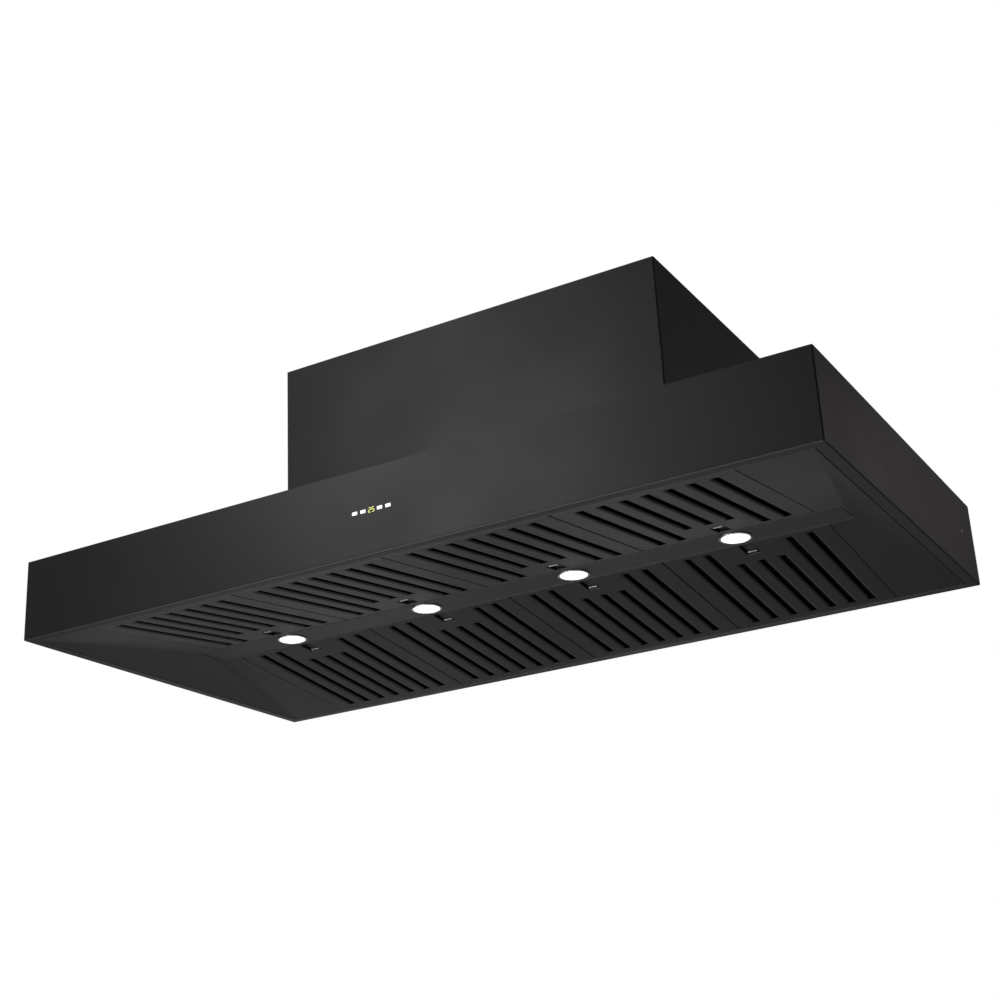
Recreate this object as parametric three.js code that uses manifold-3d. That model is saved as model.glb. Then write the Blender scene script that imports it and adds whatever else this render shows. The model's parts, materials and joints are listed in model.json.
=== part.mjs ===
// Range hood: a black sheet-metal canopy with a chimney, eight baffle filters, four lamps,
// a row of push buttons and two blowers.
// Millimetres. X runs along the hood, Y to its back, Z up.
// The origin is the middle of the rectangle that the hood covers, at its lowest edge.
import * as THREE from 'three';
import { mergeVertices } from 'three/addons/utils/BufferGeometryUtils.js';
import { ConvexGeometry } from 'three/addons/geometries/ConvexGeometry.js';
import Module from 'manifold-3d';

const wasm = await Module();
wasm.setup();

// ---- Driving dimensions ----------------------------------------------------------------

// Casing
const canopyWidth = 1500;
const canopyDepth = 800;
const canopyHeight = 148;
const chimneyWidth = 790;
const chimneyDepth = 495;
const chimneyHeight = 400;
const caseSheet = 1.5;
const seam = 0.3; // between sheets that touch
const topLedge = 20; // ledge that carries the top plate

// Underside
const lipWidth = 20;
const lipReturn = 14; // height of the edge folded up inside the lip
const linerRise = 40; // lip to light bar
const linerEndRun = 79.7; // how far the end slopes reach in
const barWidth = 65;
const barFlange = 12;

// Filters
const filtersPerBank = 4;
const bankMargin = 43; // end of the light bar to the end of a bank
const lipStrip = 7.5; // liner left between the filters and the lip
const ridgeStrip = 3.5; // liner left between the filters and the light bar
const filterGap = 0.8;
const filterEndGap = 0.5;
const filterSheet = 1;
const filterThickness = 9;
const slotCount = 7;
const slotWidth = 9.5;
const slotSideMargin = 40; // filter edge to the first slot's middle
const slotLipMargin = 14; // filter's lip edge to where the slots start
const slotRidgeMargin = 11; // filter's ridge edge to where the long slots end
const shortSlotCount = 3; // middle slots, cut short by the latch
const shortSlotMargin = 72; // filter's ridge edge to where those end
const channelWidth = 24;
const channelWall = 1;
const hookWidth = 20;
const hookReach = 5;
const hookInset = 50;

// Latches
const latchWidth = 20;
const latchRecess = { width: 24, start: 4.6, length: 38.8 }; // from the ridge edge
const latchLength = 54;
const latchRoomLength = 62; // clear of the channels, for the slider
const latchPlate = 1.5;
const latchLift = 5.2; // the slider's height over the filter's face
const latchTab = { width: 18, length: 5, back: 35 }; // back from the ridge edge
const latchClearance = 0.4;

// Lamps
const lampCount = 4;
const lampMargin = 4; // light bar's edge to the bezel
const lampBezelRim = 4;
const lampBezelThickness = 1.6;
const lampBezelSeat = 2; // how far the bezel covers the bar round its hole
const lampBodyHeight = 26;
const lampWall = 1.5;

// Controls
const controlHeight = 75; // middle of the row
const controlPitch = 16;
const button = { width: 10, height: 5.6, corner: 1.4, depth: 6, flange: 1.2, flangeSheet: 1.4 };
const display = { width: 14, height: 10, corner: 1 };
const controlGap = 0.35;
const controlBox = { width: 96, height: 26, depth: 16, wall: 1.5 };

// Air path
const ductDiameter = 150;
const wheelRadius = 95;
const wheelWidth = 110;
const bladeCount = 15;
const bladeDepth = 16;
const scrollSheet = 1.2;
const scrollWidth = 152;
const scrollClearance = 9; // wheel to the scroll's tightest point
const scrollGrowth = 34;
const inletRadius = 72;
const motorRadius = 40;
const motorLength = 62;
const shaftRadius = 4;
const shaftClearance = 0.4;
const spiderWidth = 12;
const motorBoxSheet = 1.2;
const motorBoxInset = 44; // chimney side to the motor box's wall
const motorBoxFlange = 15;
const collarHeight = 60;
const collarSheet = 1.2;
const collarFlange = 14;
const flapSheet = 1;
const flapClearance = 1.2;
const flapHeight = 40; // in the collar

// Ceiling frame and wiring
const angleLeg = 22;
const frameFlange = 28; // top and foot rings
const angleSheet = 2;
const frameClearance = 0.8;
const wiringBox = { width: 90, depth: 110, height: 48, wall: 1.5 };
const gland = { radius: 11, bore: 4.5, length: 22, nutRadius: 15, nut: 5 };

// ---- Sizes that follow -----------------------------------------------------------------

const halfWidth = canopyWidth / 2;
const halfDepth = canopyDepth / 2;
const linerX = halfWidth - lipWidth - seam;
const linerY = halfDepth - lipWidth - seam;
const ridgeX = linerX - linerEndRun;
const ridgeY = barWidth / 2;
const slope = Math.atan2(linerRise, linerY - ridgeY);

const bankLength = 2 * (ridgeX - bankMargin);
const filterPitch = bankLength / filtersPerBank;
const filterWidth = filterPitch - filterGap;
const bankLipY = linerY - lipStrip;
const bankRidgeY = ridgeY + ridgeStrip;
const hingeY = bankLipY - filterEndGap;
const filterLength = (hingeY - bankRidgeY - filterEndGap) / Math.cos(slope);
const slotPitch = (filterWidth - 2 * slotSideMargin) / (slotCount - 1);

const topZ = canopyHeight;
const chimneyTop = canopyHeight + chimneyHeight;
const chimneyBase = topZ + seam;
const chimneyX = chimneyWidth / 2;
const chimneyFront = halfDepth - chimneyDepth;
const chimneyMiddleY = halfDepth - chimneyDepth / 2;

const motorBoxX = chimneyX - motorBoxInset;
const motorBoxFront = chimneyFront + motorBoxInset;
const motorBoxBack = halfDepth - motorBoxInset;
const blowerX = motorBoxX / 2 + 10;
const scrollTight = wheelRadius + scrollClearance;
const scrollWide = scrollTight + scrollGrowth;
const scrollNeck = ductDiameter; // outlet's depth, front to back
const blowerY = chimneyMiddleY - scrollWide + scrollNeck / 2;
const blowerZ = chimneyBase + scrollWide + 4;
const neckTop = blowerZ + scrollWide + 4;
const motorBoxTop = neckTop + seam + motorBoxSheet;
const collarBase = motorBoxTop + seam;
const flapZ = collarBase + flapHeight;

// ---- Solids ----------------------------------------------------------------------------

// A closed three.js geometry as a manifold solid.
function solid(geometry) {
  const bare = geometry.index ? geometry.toNonIndexed() : geometry.clone();
  for (const name of Object.keys(bare.attributes)) {
    if (name !== 'position') bare.deleteAttribute(name);
  }
  const merged = mergeVertices(bare, 1e-4);
  return new wasm.Manifold(new wasm.Mesh({
    numProp: 3,
    vertProperties: new Float32Array(merged.attributes.position.array),
    triVerts: new Uint32Array(merged.index.array),
  }));
}

function geometryOf(manifold) {
  const mesh = manifold.getMesh();
  const geometry = new THREE.BufferGeometry();
  geometry.setAttribute('position', new THREE.BufferAttribute(mesh.vertProperties, 3));
  geometry.setIndex(new THREE.BufferAttribute(mesh.triVerts, 1));
  const flat = geometry.toNonIndexed();
  flat.computeVertexNormals();
  return flat;
}

function block(x0, x1, y0, y1, z0, z1) {
  const geometry = new THREE.BoxGeometry(x1 - x0, y1 - y0, z1 - z0);
  geometry.translate((x0 + x1) / 2, (y0 + y1) / 2, (z0 + z1) / 2);
  return solid(geometry);
}

// A block centred on the Z axis, by its half sizes.
const slab = (halfX, halfY, z0, z1) => block(-halfX, halfX, -halfY, halfY, z0, z1);

// A rectangular ring with its wall inside the given half sizes.
function ring(halfX, halfY, wall, z0, z1) {
  return slab(halfX, halfY, z0, z1).subtract(slab(halfX - wall, halfY - wall, z0 - 1, z1 + 1));
}

// A solid of revolution about Z; its profile runs anticlockwise from the axis and back to it.
function turned(profile, segments) {
  const points = profile.map(([radius, height]) => new THREE.Vector2(radius, height));
  const geometry = new THREE.LatheGeometry(points, segments);
  geometry.rotateX(Math.PI / 2);
  return solid(geometry);
}

function rod(radius, z0, z1, segments) {
  return turned([[0, z0], [radius, z0], [radius, z1], [0, z1]], segments);
}

function tube(outer, inner, z0, z1, segments) {
  const profile = [[inner, z0], [outer, z0], [outer, z1], [inner, z1], [inner, z0]];
  return turned(profile, segments);
}

const union = (pieces) => pieces.reduce((sum, piece) => sum.add(piece));
const cut = (body, tools) => tools.reduce((rest, tool) => rest.subtract(tool), body);
const alongX = (piece) => piece.rotate([0, 90, 0]);

// A plate with round corners that stands across Y, from y0 to y1.
function panel(width, height, corner, y0, y1) {
  const w = width / 2;
  const h = height / 2;
  const shape = new THREE.Shape();
  shape.moveTo(w, -h + corner);
  shape.absarc(w - corner, h - corner, corner, 0, Math.PI / 2, false);
  shape.absarc(-w + corner, h - corner, corner, Math.PI / 2, Math.PI, false);
  shape.absarc(-w + corner, -h + corner, corner, Math.PI, Math.PI * 1.5, false);
  shape.absarc(w - corner, -h + corner, corner, Math.PI * 1.5, Math.PI * 2, false);
  const options = { depth: y1 - y0, bevelEnabled: false, curveSegments: 2 };
  const geometry = new THREE.ExtrudeGeometry(shape, options);
  geometry.rotateX(Math.PI / 2);
  geometry.translate(0, y1, 0);
  return solid(geometry);
}

// ---- Finishes --------------------------------------------------------------------------

const finish = (color, roughness, metalness) =>
  new THREE.MeshStandardMaterial({ color, roughness, metalness });

const finishes = {
  powderCoat: finish(0x2b2b2d, 0.5, 0.3),
  filterCoat: finish(0x272727, 0.5, 0.3),
  steel: finish(0xb9bbbd, 0.35, 1),
  galvanised: finish(0x9a9fa3, 0.5, 0.9),
  blackPlastic: finish(0x1a1a1b, 0.5, 0),
  litPlastic: finish(0xf4f6ff, 0.3, 0),
  displayGlass: finish(0x10140c, 0.1, 0),
  lensGlass: finish(0xffffff, 0.2, 0),
  castAluminium: finish(0x8b8e92, 0.5, 0.8),
};

// ---- Canopy ----------------------------------------------------------------------------

const controlPlaces = [-2, -1, 1, 2].map((step) => step * controlPitch);

function controlCutouts(y0, y1) {
  const buttons = controlPlaces.map((x) =>
    panel(button.width + 2 * controlGap, button.height + 2 * controlGap, button.corner, y0, y1)
      .translate([x, 0, controlHeight]));
  const screen = panel(display.width, display.height, display.corner, y0, y1);
  return [...buttons, screen.translate([0, 0, controlHeight])];
}

function canopyShell() {
  const walls = ring(halfWidth, halfDepth, caseSheet, 0, topZ);
  const lip = ring(halfWidth, halfDepth, lipWidth, 0, caseSheet);
  const upstand = ring(
    halfWidth - lipWidth + caseSheet, halfDepth - lipWidth + caseSheet, caseSheet, 0, lipReturn);
  const ledgeTop = topZ - caseSheet - seam;
  const ledge = ring(halfWidth, halfDepth, topLedge, ledgeTop - caseSheet, ledgeTop);
  const shell = union([walls, lip, upstand, ledge]);
  return cut(shell, controlCutouts(-halfDepth - 1, -halfDepth + caseSheet + 1));
}

function canopyTopPlate() {
  const inset = caseSheet + seam;
  const plate = slab(halfWidth - inset, halfDepth - inset, topZ - caseSheet, topZ);
  const intake = block(
    -motorBoxX + motorBoxFlange, motorBoxX - motorBoxFlange,
    motorBoxFront + motorBoxFlange, motorBoxBack - motorBoxFlange, topZ - 5, topZ + 1);
  return plate.subtract(intake);
}

// The hollow under the liner: a hipped roof with a flat ridge.
function hippedHollow() {
  const points = [];
  for (const sx of [-1, 1]) {
    for (const sy of [-1, 1]) {
      points.push(new THREE.Vector3(sx * linerX, sy * linerY, 0));
      points.push(new THREE.Vector3(sx * ridgeX, sy * ridgeY, linerRise));
    }
  }
  return solid(new ConvexGeometry(points));
}

const bankHalfX = bankLength / 2 - filterGap / 2 + filterEndGap;

function linerTray() {
  const hollow = hippedHollow();
  const skirt = slab(linerX, linerY, 0, caseSheet);
  const outside = hollow.translate([0, 0, caseSheet]).add(skirt);
  const edge = ring(linerX, linerY, caseSheet, 0, lipReturn);
  const barSeat = ring(
    ridgeX + caseSheet, ridgeY + caseSheet, caseSheet, linerRise - 2, linerRise + barFlange);
  const sheet = union([outside, edge, barSeat]).subtract(hollow);
  const openings = [-1, 1].map((side) => {
    const near = side * bankRidgeY;
    const far = side * bankLipY;
    return block(
      -bankHalfX, bankHalfX, Math.min(near, far), Math.max(near, far), -1, linerRise + barFlange);
  });
  return cut(sheet, [...openings, slab(ridgeX, ridgeY, 0, linerRise + barFlange + 1)]);
}

function prism(corners, z0, z1) {
  const shape = new THREE.Shape(corners.map(([x, y]) => new THREE.Vector2(x, y)));
  const geometry = new THREE.ExtrudeGeometry(shape, { depth: z1 - z0, bevelEnabled: false });
  return solid(geometry.translate(0, 0, z0));
}

// The tray is welded from four sheets that meet along the hips: a long slope on each side of the
// light bar, and a steep slope at each end.
function linerSheets() {
  const tray = linerTray();
  const top = linerRise + barFlange + 1;
  const reach = seam * Math.hypot(linerEndRun, linerY - ridgeY) / (linerY - ridgeY);
  const longSide = prism([
    [-linerX + reach, -linerY], [linerX - reach, -linerY],
    [ridgeX - reach, -ridgeY], [-ridgeX + reach, -ridgeY],
  ], -1, top);
  const end = prism([
    [linerX, -linerY], [linerX, linerY], [ridgeX, ridgeY], [ridgeX, -ridgeY],
  ], -1, top);
  return {
    front: tray.intersect(longSide),
    rear: tray.intersect(longSide.rotate([0, 0, 180])),
    end_left: tray.intersect(end.rotate([0, 0, 180])),
    end_right: tray.intersect(end),
  };
}

const lampBezelRadius = barWidth / 2 - lampMargin;
const lampLensRadius = lampBezelRadius - lampBezelRim;
const lampBodyRadius = lampBezelRadius - lampBezelSeat;
const lampPlaces = Array.from({ length: lampCount }, (_, index) =>
  (index - (lampCount - 1) / 2) * filterPitch);

function lightBar() {
  const halfX = ridgeX - seam;
  const halfY = ridgeY - seam;
  const plate = slab(halfX, halfY, linerRise, linerRise + caseSheet);
  const flanges = ring(halfX, halfY, caseSheet, linerRise, linerRise + barFlange);
  const holes = lampPlaces.map((x) =>
    rod(lampBodyRadius + seam, linerRise - 1, linerRise + 3, 28).translate([x, 0, 0]));
  return cut(plate.add(flanges), holes);
}

// ---- Lamps: a bezel under the light bar, and a can behind it that holds the lens ----------

function lampHousing(x) {
  const bezelTop = linerRise - seam;
  const bezelBase = bezelTop - lampBezelThickness;
  const canTop = linerRise + lampBodyHeight;
  const inner = lampBodyRadius - lampWall;
  return turned([
    [lampLensRadius, bezelBase], [lampBezelRadius, bezelBase], [lampBezelRadius, bezelTop],
    [lampBodyRadius, bezelTop], [lampBodyRadius, canTop], [0, canTop], [0, canTop - lampWall],
    [inner, canTop - lampWall], [inner, bezelTop + 0.8], [lampLensRadius, bezelTop + 0.8],
    [lampLensRadius, bezelBase],
  ], 28).translate([x, 0, 0]);
}

function lampLens(x) {
  const base = linerRise - seam - lampBezelThickness + 0.4;
  return rod(lampLensRadius - seam, base, base + 3, 28).translate([x, 0, 0]);
}

// ---- Controls --------------------------------------------------------------------------

function pushButton(x) {
  const wallBack = -halfDepth + caseSheet;
  const cap = panel(button.width, button.height, button.corner, -halfDepth, wallBack + 3);
  const flangeFront = wallBack + controlGap;
  const flange = panel(
    button.width + 2 * button.flange, button.height + 2 * button.flange, button.corner,
    flangeFront, flangeFront + button.flangeSheet);
  const stem = panel(4, 4, 0.8, flangeFront, -halfDepth + button.depth + button.flangeSheet);
  return union([cap, flange, stem]).translate([x, 0, controlHeight]);
}

// A tray behind the buttons, with the display's window on a block in its middle.
function controlModule() {
  const front = -halfDepth + caseSheet + seam;
  const back = front + controlBox.depth;
  const w = controlBox.width / 2;
  const h = controlBox.height / 2;
  const low = controlHeight - h;
  const high = controlHeight + h;
  const wall = controlBox.wall;
  const pocket = block(-w + wall, w - wall, front - 1, back - wall, low + wall, high - wall);
  const cableSlot = block(w - 14, w - 6, back - wall - 1, back + 1, low + 5, high - 5);
  const screen = panel(
    display.width + 2 * seam, display.height + 2 * seam, display.corner, front, back - wall / 2);
  return cut(block(-w, w, front, back, low, high), [pocket, cableSlot])
    .add(screen.translate([0, 0, controlHeight]));
}

// ---- Chimney ---------------------------------------------------------------------------

function chimneyCover() {
  return ring(chimneyX, chimneyDepth / 2, caseSheet, chimneyBase, chimneyTop)
    .translate([0, chimneyMiddleY, 0]);
}

// Four angle uprights, a top ring with a flat flange, and a bottom ring that is bolted down.
function ceilingFrame() {
  const inset = caseSheet + frameClearance;
  const halfX = chimneyX - inset;
  const halfY = chimneyDepth / 2 - inset;
  const upright = (sx, sy) => {
    const corner = slab(angleLeg / 2, angleLeg / 2, chimneyBase, chimneyTop);
    const hollow = slab(angleLeg / 2, angleLeg / 2, chimneyBase - 1, chimneyTop + 1)
      .translate([-sx * angleSheet, -sy * angleSheet, 0]);
    return corner.subtract(hollow)
      .translate([sx * (halfX - angleLeg / 2), sy * (halfY - angleLeg / 2), 0]);
  };
  const uprights = [[-1, -1], [1, -1], [1, 1], [-1, 1]].map(([sx, sy]) => upright(sx, sy));
  const flange = ring(halfX, halfY, frameFlange, chimneyTop - angleSheet, chimneyTop);
  const skirt = ring(halfX, halfY, angleSheet, chimneyTop - frameFlange, chimneyTop);
  const foot = ring(halfX, halfY, frameFlange, chimneyBase, chimneyBase + angleSheet);
  return union([...uprights, flange, skirt, foot]).translate([0, chimneyMiddleY, 0]);
}

// ---- Blowers ---------------------------------------------------------------------------

const collarY = chimneyMiddleY;

function motorBox() {
  const box = (grow, z0, z1) => block(
    -motorBoxX - grow, motorBoxX + grow, motorBoxFront - grow, motorBoxBack + grow, z0, z1);
  const walls = box(0, chimneyBase, motorBoxTop);
  const inside = box(-motorBoxSheet, chimneyBase - 1, motorBoxTop - motorBoxSheet);
  const flange = box(motorBoxFlange - angleSheet, chimneyBase, chimneyBase + motorBoxSheet);
  const outlets = [-1, 1].map((side) =>
    rod(ductDiameter / 2 - collarSheet, neckTop - 1, motorBoxTop + 1, 40)
      .translate([side * blowerX, collarY, 0]));
  return cut(walls.add(flange), [inside, ...outlets]);
}

// The scroll's outline in its own plane: a spiral that widens towards the outlet, then the neck.
function scrollOutline(grow) {
  const start = Math.PI / 3;
  const turn = Math.PI * 2 - start;
  const steps = 26;
  const neckHeight = neckTop - blowerZ;
  const points = [];
  for (let step = 0; step <= steps; step += 1) {
    const share = step / steps;
    const radius = scrollTight + scrollGrowth * share - grow;
    const angle = start + turn * share;
    points.push(new THREE.Vector2(Math.cos(angle) * radius, Math.sin(angle) * radius));
  }
  points.push(new THREE.Vector2(scrollWide - grow, neckHeight + grow));
  points.push(new THREE.Vector2(scrollWide - scrollNeck + grow, neckHeight + grow));
  return points;
}

// The outline's plane, X to the back and Y up, turned to stand across X.
function scrollSolid(grow, width) {
  const shape = new THREE.Shape(scrollOutline(grow));
  const geometry = new THREE.ExtrudeGeometry(shape, { depth: width, bevelEnabled: false });
  geometry.translate(0, 0, -width / 2);
  const toHood = new THREE.Matrix4().makeBasis(
    new THREE.Vector3(0, 1, 0), new THREE.Vector3(0, 0, 1), new THREE.Vector3(1, 0, 0));
  geometry.applyMatrix4(toHood);
  return solid(geometry);
}

const blowerPlace = (side) => [side * blowerX, blowerY, blowerZ];

// The right-hand blower is the left-hand one's mirror image, with its motor on the outer side.
const facingOut = (piece, side) => (side > 0 ? piece.mirror([1, 0, 0]) : piece);

function blowerHousing(side) {
  const casing = scrollSolid(0, scrollWidth);
  const air = scrollSolid(scrollSheet, scrollWidth - 2 * scrollSheet);
  const inlets = alongX(rod(inletRadius, -scrollWidth, scrollWidth, 40));
  return cut(casing, [air, inlets]).translate(blowerPlace(side));
}

// The squirrel cage: a middle disc with the shaft, blades round it and a ring at each end.
function blowerWheel(side) {
  const half = wheelWidth / 2;
  const disc = rod(wheelRadius, -1.5, 1.5, 30);
  const inner = wheelRadius - bladeDepth;
  const rings = [-half, half - 4].map((z) => tube(wheelRadius, inner, z, z + 4, 30));
  const blades = Array.from({ length: bladeCount }, (_, index) => {
    const blade = block(inner + 3, wheelRadius - 3, -0.6, 0.6, -half + 1, half - 1);
    return blade.rotate([0, 0, (360 / bladeCount) * index]);
  });
  const shaft = rod(shaftRadius, -half + 8, 6, 20);
  const wheel = union([disc, ...rings, ...blades, shaft]);
  return facingOut(alongX(wheel), side).translate(blowerPlace(side));
}

// The motor stands in the wheel's hollow, held by a three-armed spider over the inlet.
function blowerMotor(side) {
  const spiderInner = -scrollWidth / 2 - seam - angleSheet;
  const spiderOuter = spiderInner + angleSheet;
  const canEnd = spiderInner + motorLength;
  const can = rod(motorRadius, spiderInner, canEnd, 28);
  const bore = rod(shaftRadius + shaftClearance, canEnd - 40, canEnd + 1, 20);
  const arms = [0, 120, 240].map((angle) =>
    block(0, inletRadius + 12, -spiderWidth / 2, spiderWidth / 2, spiderInner, spiderOuter)
      .rotate([0, 0, angle]));
  const motor = alongX(union([can, ...arms]).subtract(bore));
  return facingOut(motor, side).translate(blowerPlace(side));
}

function ductCollar(side) {
  const outer = ductDiameter / 2;
  const inner = outer - collarSheet;
  const flangeTop = collarBase + collarSheet;
  return turned([
    [inner, collarBase], [outer + collarFlange, collarBase], [outer + collarFlange, flangeTop],
    [outer, flangeTop], [outer, collarBase + collarHeight], [inner, collarBase + collarHeight],
    [inner, collarBase],
  ], 40).translate([side * blowerX, collarY, 0]);
}

// Half of a butterfly flap, hinged on the collar's middle line.
function damperFlap(side, half) {
  const radius = ductDiameter / 2 - collarSheet - flapClearance;
  const disc = rod(radius, flapZ, flapZ + flapSheet, 32);
  const keep = half > 0
    ? block(-radius, radius, flapClearance, radius + 1, flapZ - 1, flapZ + 2)
    : block(-radius, radius, -radius - 1, -flapClearance, flapZ - 1, flapZ + 2);
  const pinLength = radius - 3;
  const pin = alongX(rod(1, -pinLength, pinLength, 8))
    .translate([0, half * (flapClearance + 0.6), flapZ]);
  return disc.intersect(keep).add(pin).translate([side * blowerX, collarY, 0]);
}

// ---- Wiring ----------------------------------------------------------------------------

const wiringBase = motorBoxTop + seam;

// The cover, with the cable's gland moulded on its top.
function wiringCover() {
  const w = wiringBox.width / 2;
  const d = wiringBox.depth / 2;
  const top = wiringBase + wiringBox.height;
  const inner = slab(w - wiringBox.wall, d - wiringBox.wall, wiringBase - 1, top - wiringBox.wall);
  const glandEnd = top + gland.length;
  const glandStart = top - 2 * gland.nut;
  const neck = turned([
    [0, glandStart], [gland.radius, glandStart], [gland.radius, top], [gland.nutRadius, top],
    [gland.nutRadius, top + gland.nut], [gland.radius - 1, top + gland.nut + 1],
    [gland.radius - 2, glandEnd], [0, glandEnd], [0, glandStart],
  ], 24);
  const cover = slab(w, d, wiringBase, top).subtract(inner).add(neck);
  return cover.subtract(rod(gland.bore, glandStart - 1, glandEnd + 1, 24))
    .translate([0, chimneyMiddleY, 0]);
}

// ---- Filters ---------------------------------------------------------------------------
// In a filter's own frame X runs across it, Y from its lip edge up to the ridge and Z out of its
// top side. The origin is the middle of its lip edge, on the underside.

const slotSteps = Array.from({ length: slotCount }, (_, index) => index - (slotCount - 1) / 2);
const isShort = (step) => Math.abs(step) <= (shortSlotCount - 1) / 2;
const slotEnd = (step) => filterLength - (isShort(step) ? shortSlotMargin : slotRidgeMargin);

function filterFrame() {
  const halfX = filterWidth / 2;
  const tray = block(-halfX, halfX, 0, filterLength, 0, filterThickness);
  const wall = filterSheet;
  const pocket = block(
    -halfX + wall, halfX - wall, wall, filterLength - wall, wall, filterThickness + 1);
  const slots = slotSteps.map((step) => {
    const x = step * slotPitch;
    return block(x - slotWidth / 2, x + slotWidth / 2, slotLipMargin, slotEnd(step), -1, wall + 1);
  });
  const recessEnd = filterLength - latchRecess.start;
  const recess = block(
    -latchRecess.width / 2, latchRecess.width / 2, recessEnd - latchRecess.length, recessEnd,
    -1, wall + 1);
  const noseSlot = block(
    -latchWidth / 2 - latchClearance, latchWidth / 2 + latchClearance,
    filterLength - wall - 1, filterLength + 1,
    latchLift - latchClearance, latchLift + latchPlate + latchClearance);
  const hooks = [-1, 1].map((side) => {
    const x = side * (halfX - hookInset);
    return block(x - hookWidth / 2, x + hookWidth / 2, -hookReach, wall, 1.9, 3.1);
  });
  return cut(tray.add(hooks[0]).add(hooks[1]), [pocket, ...slots, recess, noseSlot]);
}

// One folded channel behind each slot; the air turns round their edges.
function filterBaffles() {
  const inset = filterSheet + latchClearance;
  const halfX = filterWidth / 2 - inset;
  const low = filterSheet + 2;
  const high = filterThickness - 0.4;
  const pack = block(-halfX, halfX, inset, filterLength - inset, low, high);
  const grooves = slotSteps.map((step) => {
    const x = step * slotPitch;
    const half = channelWidth / 2 - channelWall;
    return block(x - half, x + half, slotLipMargin, filterLength - slotRidgeMargin, low - 1,
      high - channelWall);
  });
  const gaps = slotSteps.slice(1).map((step) => {
    const x = (step - 0.5) * slotPitch;
    const half = (slotPitch - channelWidth) / 2;
    return block(x - half, x + half, slotLipMargin + 10, filterLength - slotRidgeMargin - 10,
      low - 1, high + 1);
  });
  const latchRoom = block(
    -latchWidth, latchWidth, filterLength - latchRoomLength, filterLength, low - 1, high + 1);
  return cut(pack, [...grooves, ...gaps, latchRoom]);
}

function filterLatch() {
  const nose = filterLength - 0.2;
  const half = latchWidth / 2;
  const plate = block(-half, half, nose - latchLength, nose, latchLift, latchLift + latchPlate);
  const tabEnd = filterLength - latchTab.back;
  const tab = block(-latchTab.width / 2, latchTab.width / 2, tabEnd - latchTab.length, tabEnd,
    0.6, latchLift + latchPlate);
  return plate.add(tab);
}

// ---- The assembly ----------------------------------------------------------------------

const hood = new THREE.Group();

function addPiece(name, piece, material, parent = hood) {
  const mesh = new THREE.Mesh(geometryOf(piece), material);
  mesh.name = name;
  parent.add(mesh);
}

function addCasing() {
  addPiece('canopy_shell', canopyShell(), finishes.powderCoat);
  addPiece('canopy_top_plate', canopyTopPlate(), finishes.powderCoat);
  for (const [place, sheet] of Object.entries(linerSheets())) {
    addPiece(`liner_${place}`, sheet, finishes.powderCoat);
  }
  addPiece('light_bar', lightBar(), finishes.powderCoat);
  addPiece('chimney_cover', chimneyCover(), finishes.powderCoat);
  addPiece('ceiling_frame', ceilingFrame(), finishes.galvanised);
}

function addLamps() {
  lampPlaces.forEach((x, index) => {
    addPiece(`lamp_housing_${index + 1}`, lampHousing(x), finishes.steel);
    addPiece(`lamp_lens_${index + 1}`, lampLens(x), finishes.lensGlass);
  });
}

function addControls() {
  controlPlaces.forEach((x, index) => {
    addPiece(`button_${index + 1}`, pushButton(x), finishes.litPlastic);
  });
  addPiece('control_module', controlModule(), finishes.displayGlass);
}

function addBlowers() {
  addPiece('motor_box', motorBox(), finishes.galvanised);
  for (const [label, side] of [['left', -1], ['right', 1]]) {
    addPiece(`blower_housing_${label}`, blowerHousing(side), finishes.galvanised);
    addPiece(`blower_wheel_${label}`, blowerWheel(side), finishes.galvanised);
    addPiece(`blower_motor_${label}`, blowerMotor(side), finishes.castAluminium);
    addPiece(`duct_collar_${label}`, ductCollar(side), finishes.blackPlastic);
    addPiece(`damper_flap_${label}_front`, damperFlap(side, -1), finishes.blackPlastic);
    addPiece(`damper_flap_${label}_rear`, damperFlap(side, 1), finishes.blackPlastic);
  }
  addPiece('wiring_box', wiringCover(), finishes.blackPlastic);
}

function addFilters() {
  const frame = filterFrame();
  const baffles = filterBaffles();
  const latch = filterLatch();
  const hingeZ = (linerY - hingeY) * Math.tan(slope);
  for (const [bank, side, turn] of [['front', -1, 0], ['rear', 1, Math.PI]]) {
    for (let index = 0; index < filtersPerBank; index += 1) {
      const place = new THREE.Group();
      const x = (index - (filtersPerBank - 1) / 2) * filterPitch;
      place.position.set(x, side * hingeY, hingeZ);
      place.rotation.set(slope, 0, turn, 'ZYX');
      hood.add(place);
      const name = `${bank}_filter_${index + 1}`;
      addPiece(`${name}_frame`, frame, finishes.filterCoat, place);
      addPiece(`${name}_baffles`, baffles, finishes.filterCoat, place);
      addPiece(`${name}_latch`, latch, finishes.steel, place);
    }
  }
}

addCasing();
addLamps();
addControls();
addBlowers();
addFilters();

export default hood;
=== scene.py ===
"""Range hood: the finished surfaces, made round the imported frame.

The file is laid out as an add-on and run as a script. Lengths are in metres, in the frame's axes:
X along the hood, Y to its back, Z up.
"""

import json
import math

import bmesh
import bpy
from bpy.props import FloatProperty, FloatVectorProperty, IntProperty, PointerProperty
from mathutils import Matrix, Vector


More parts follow.
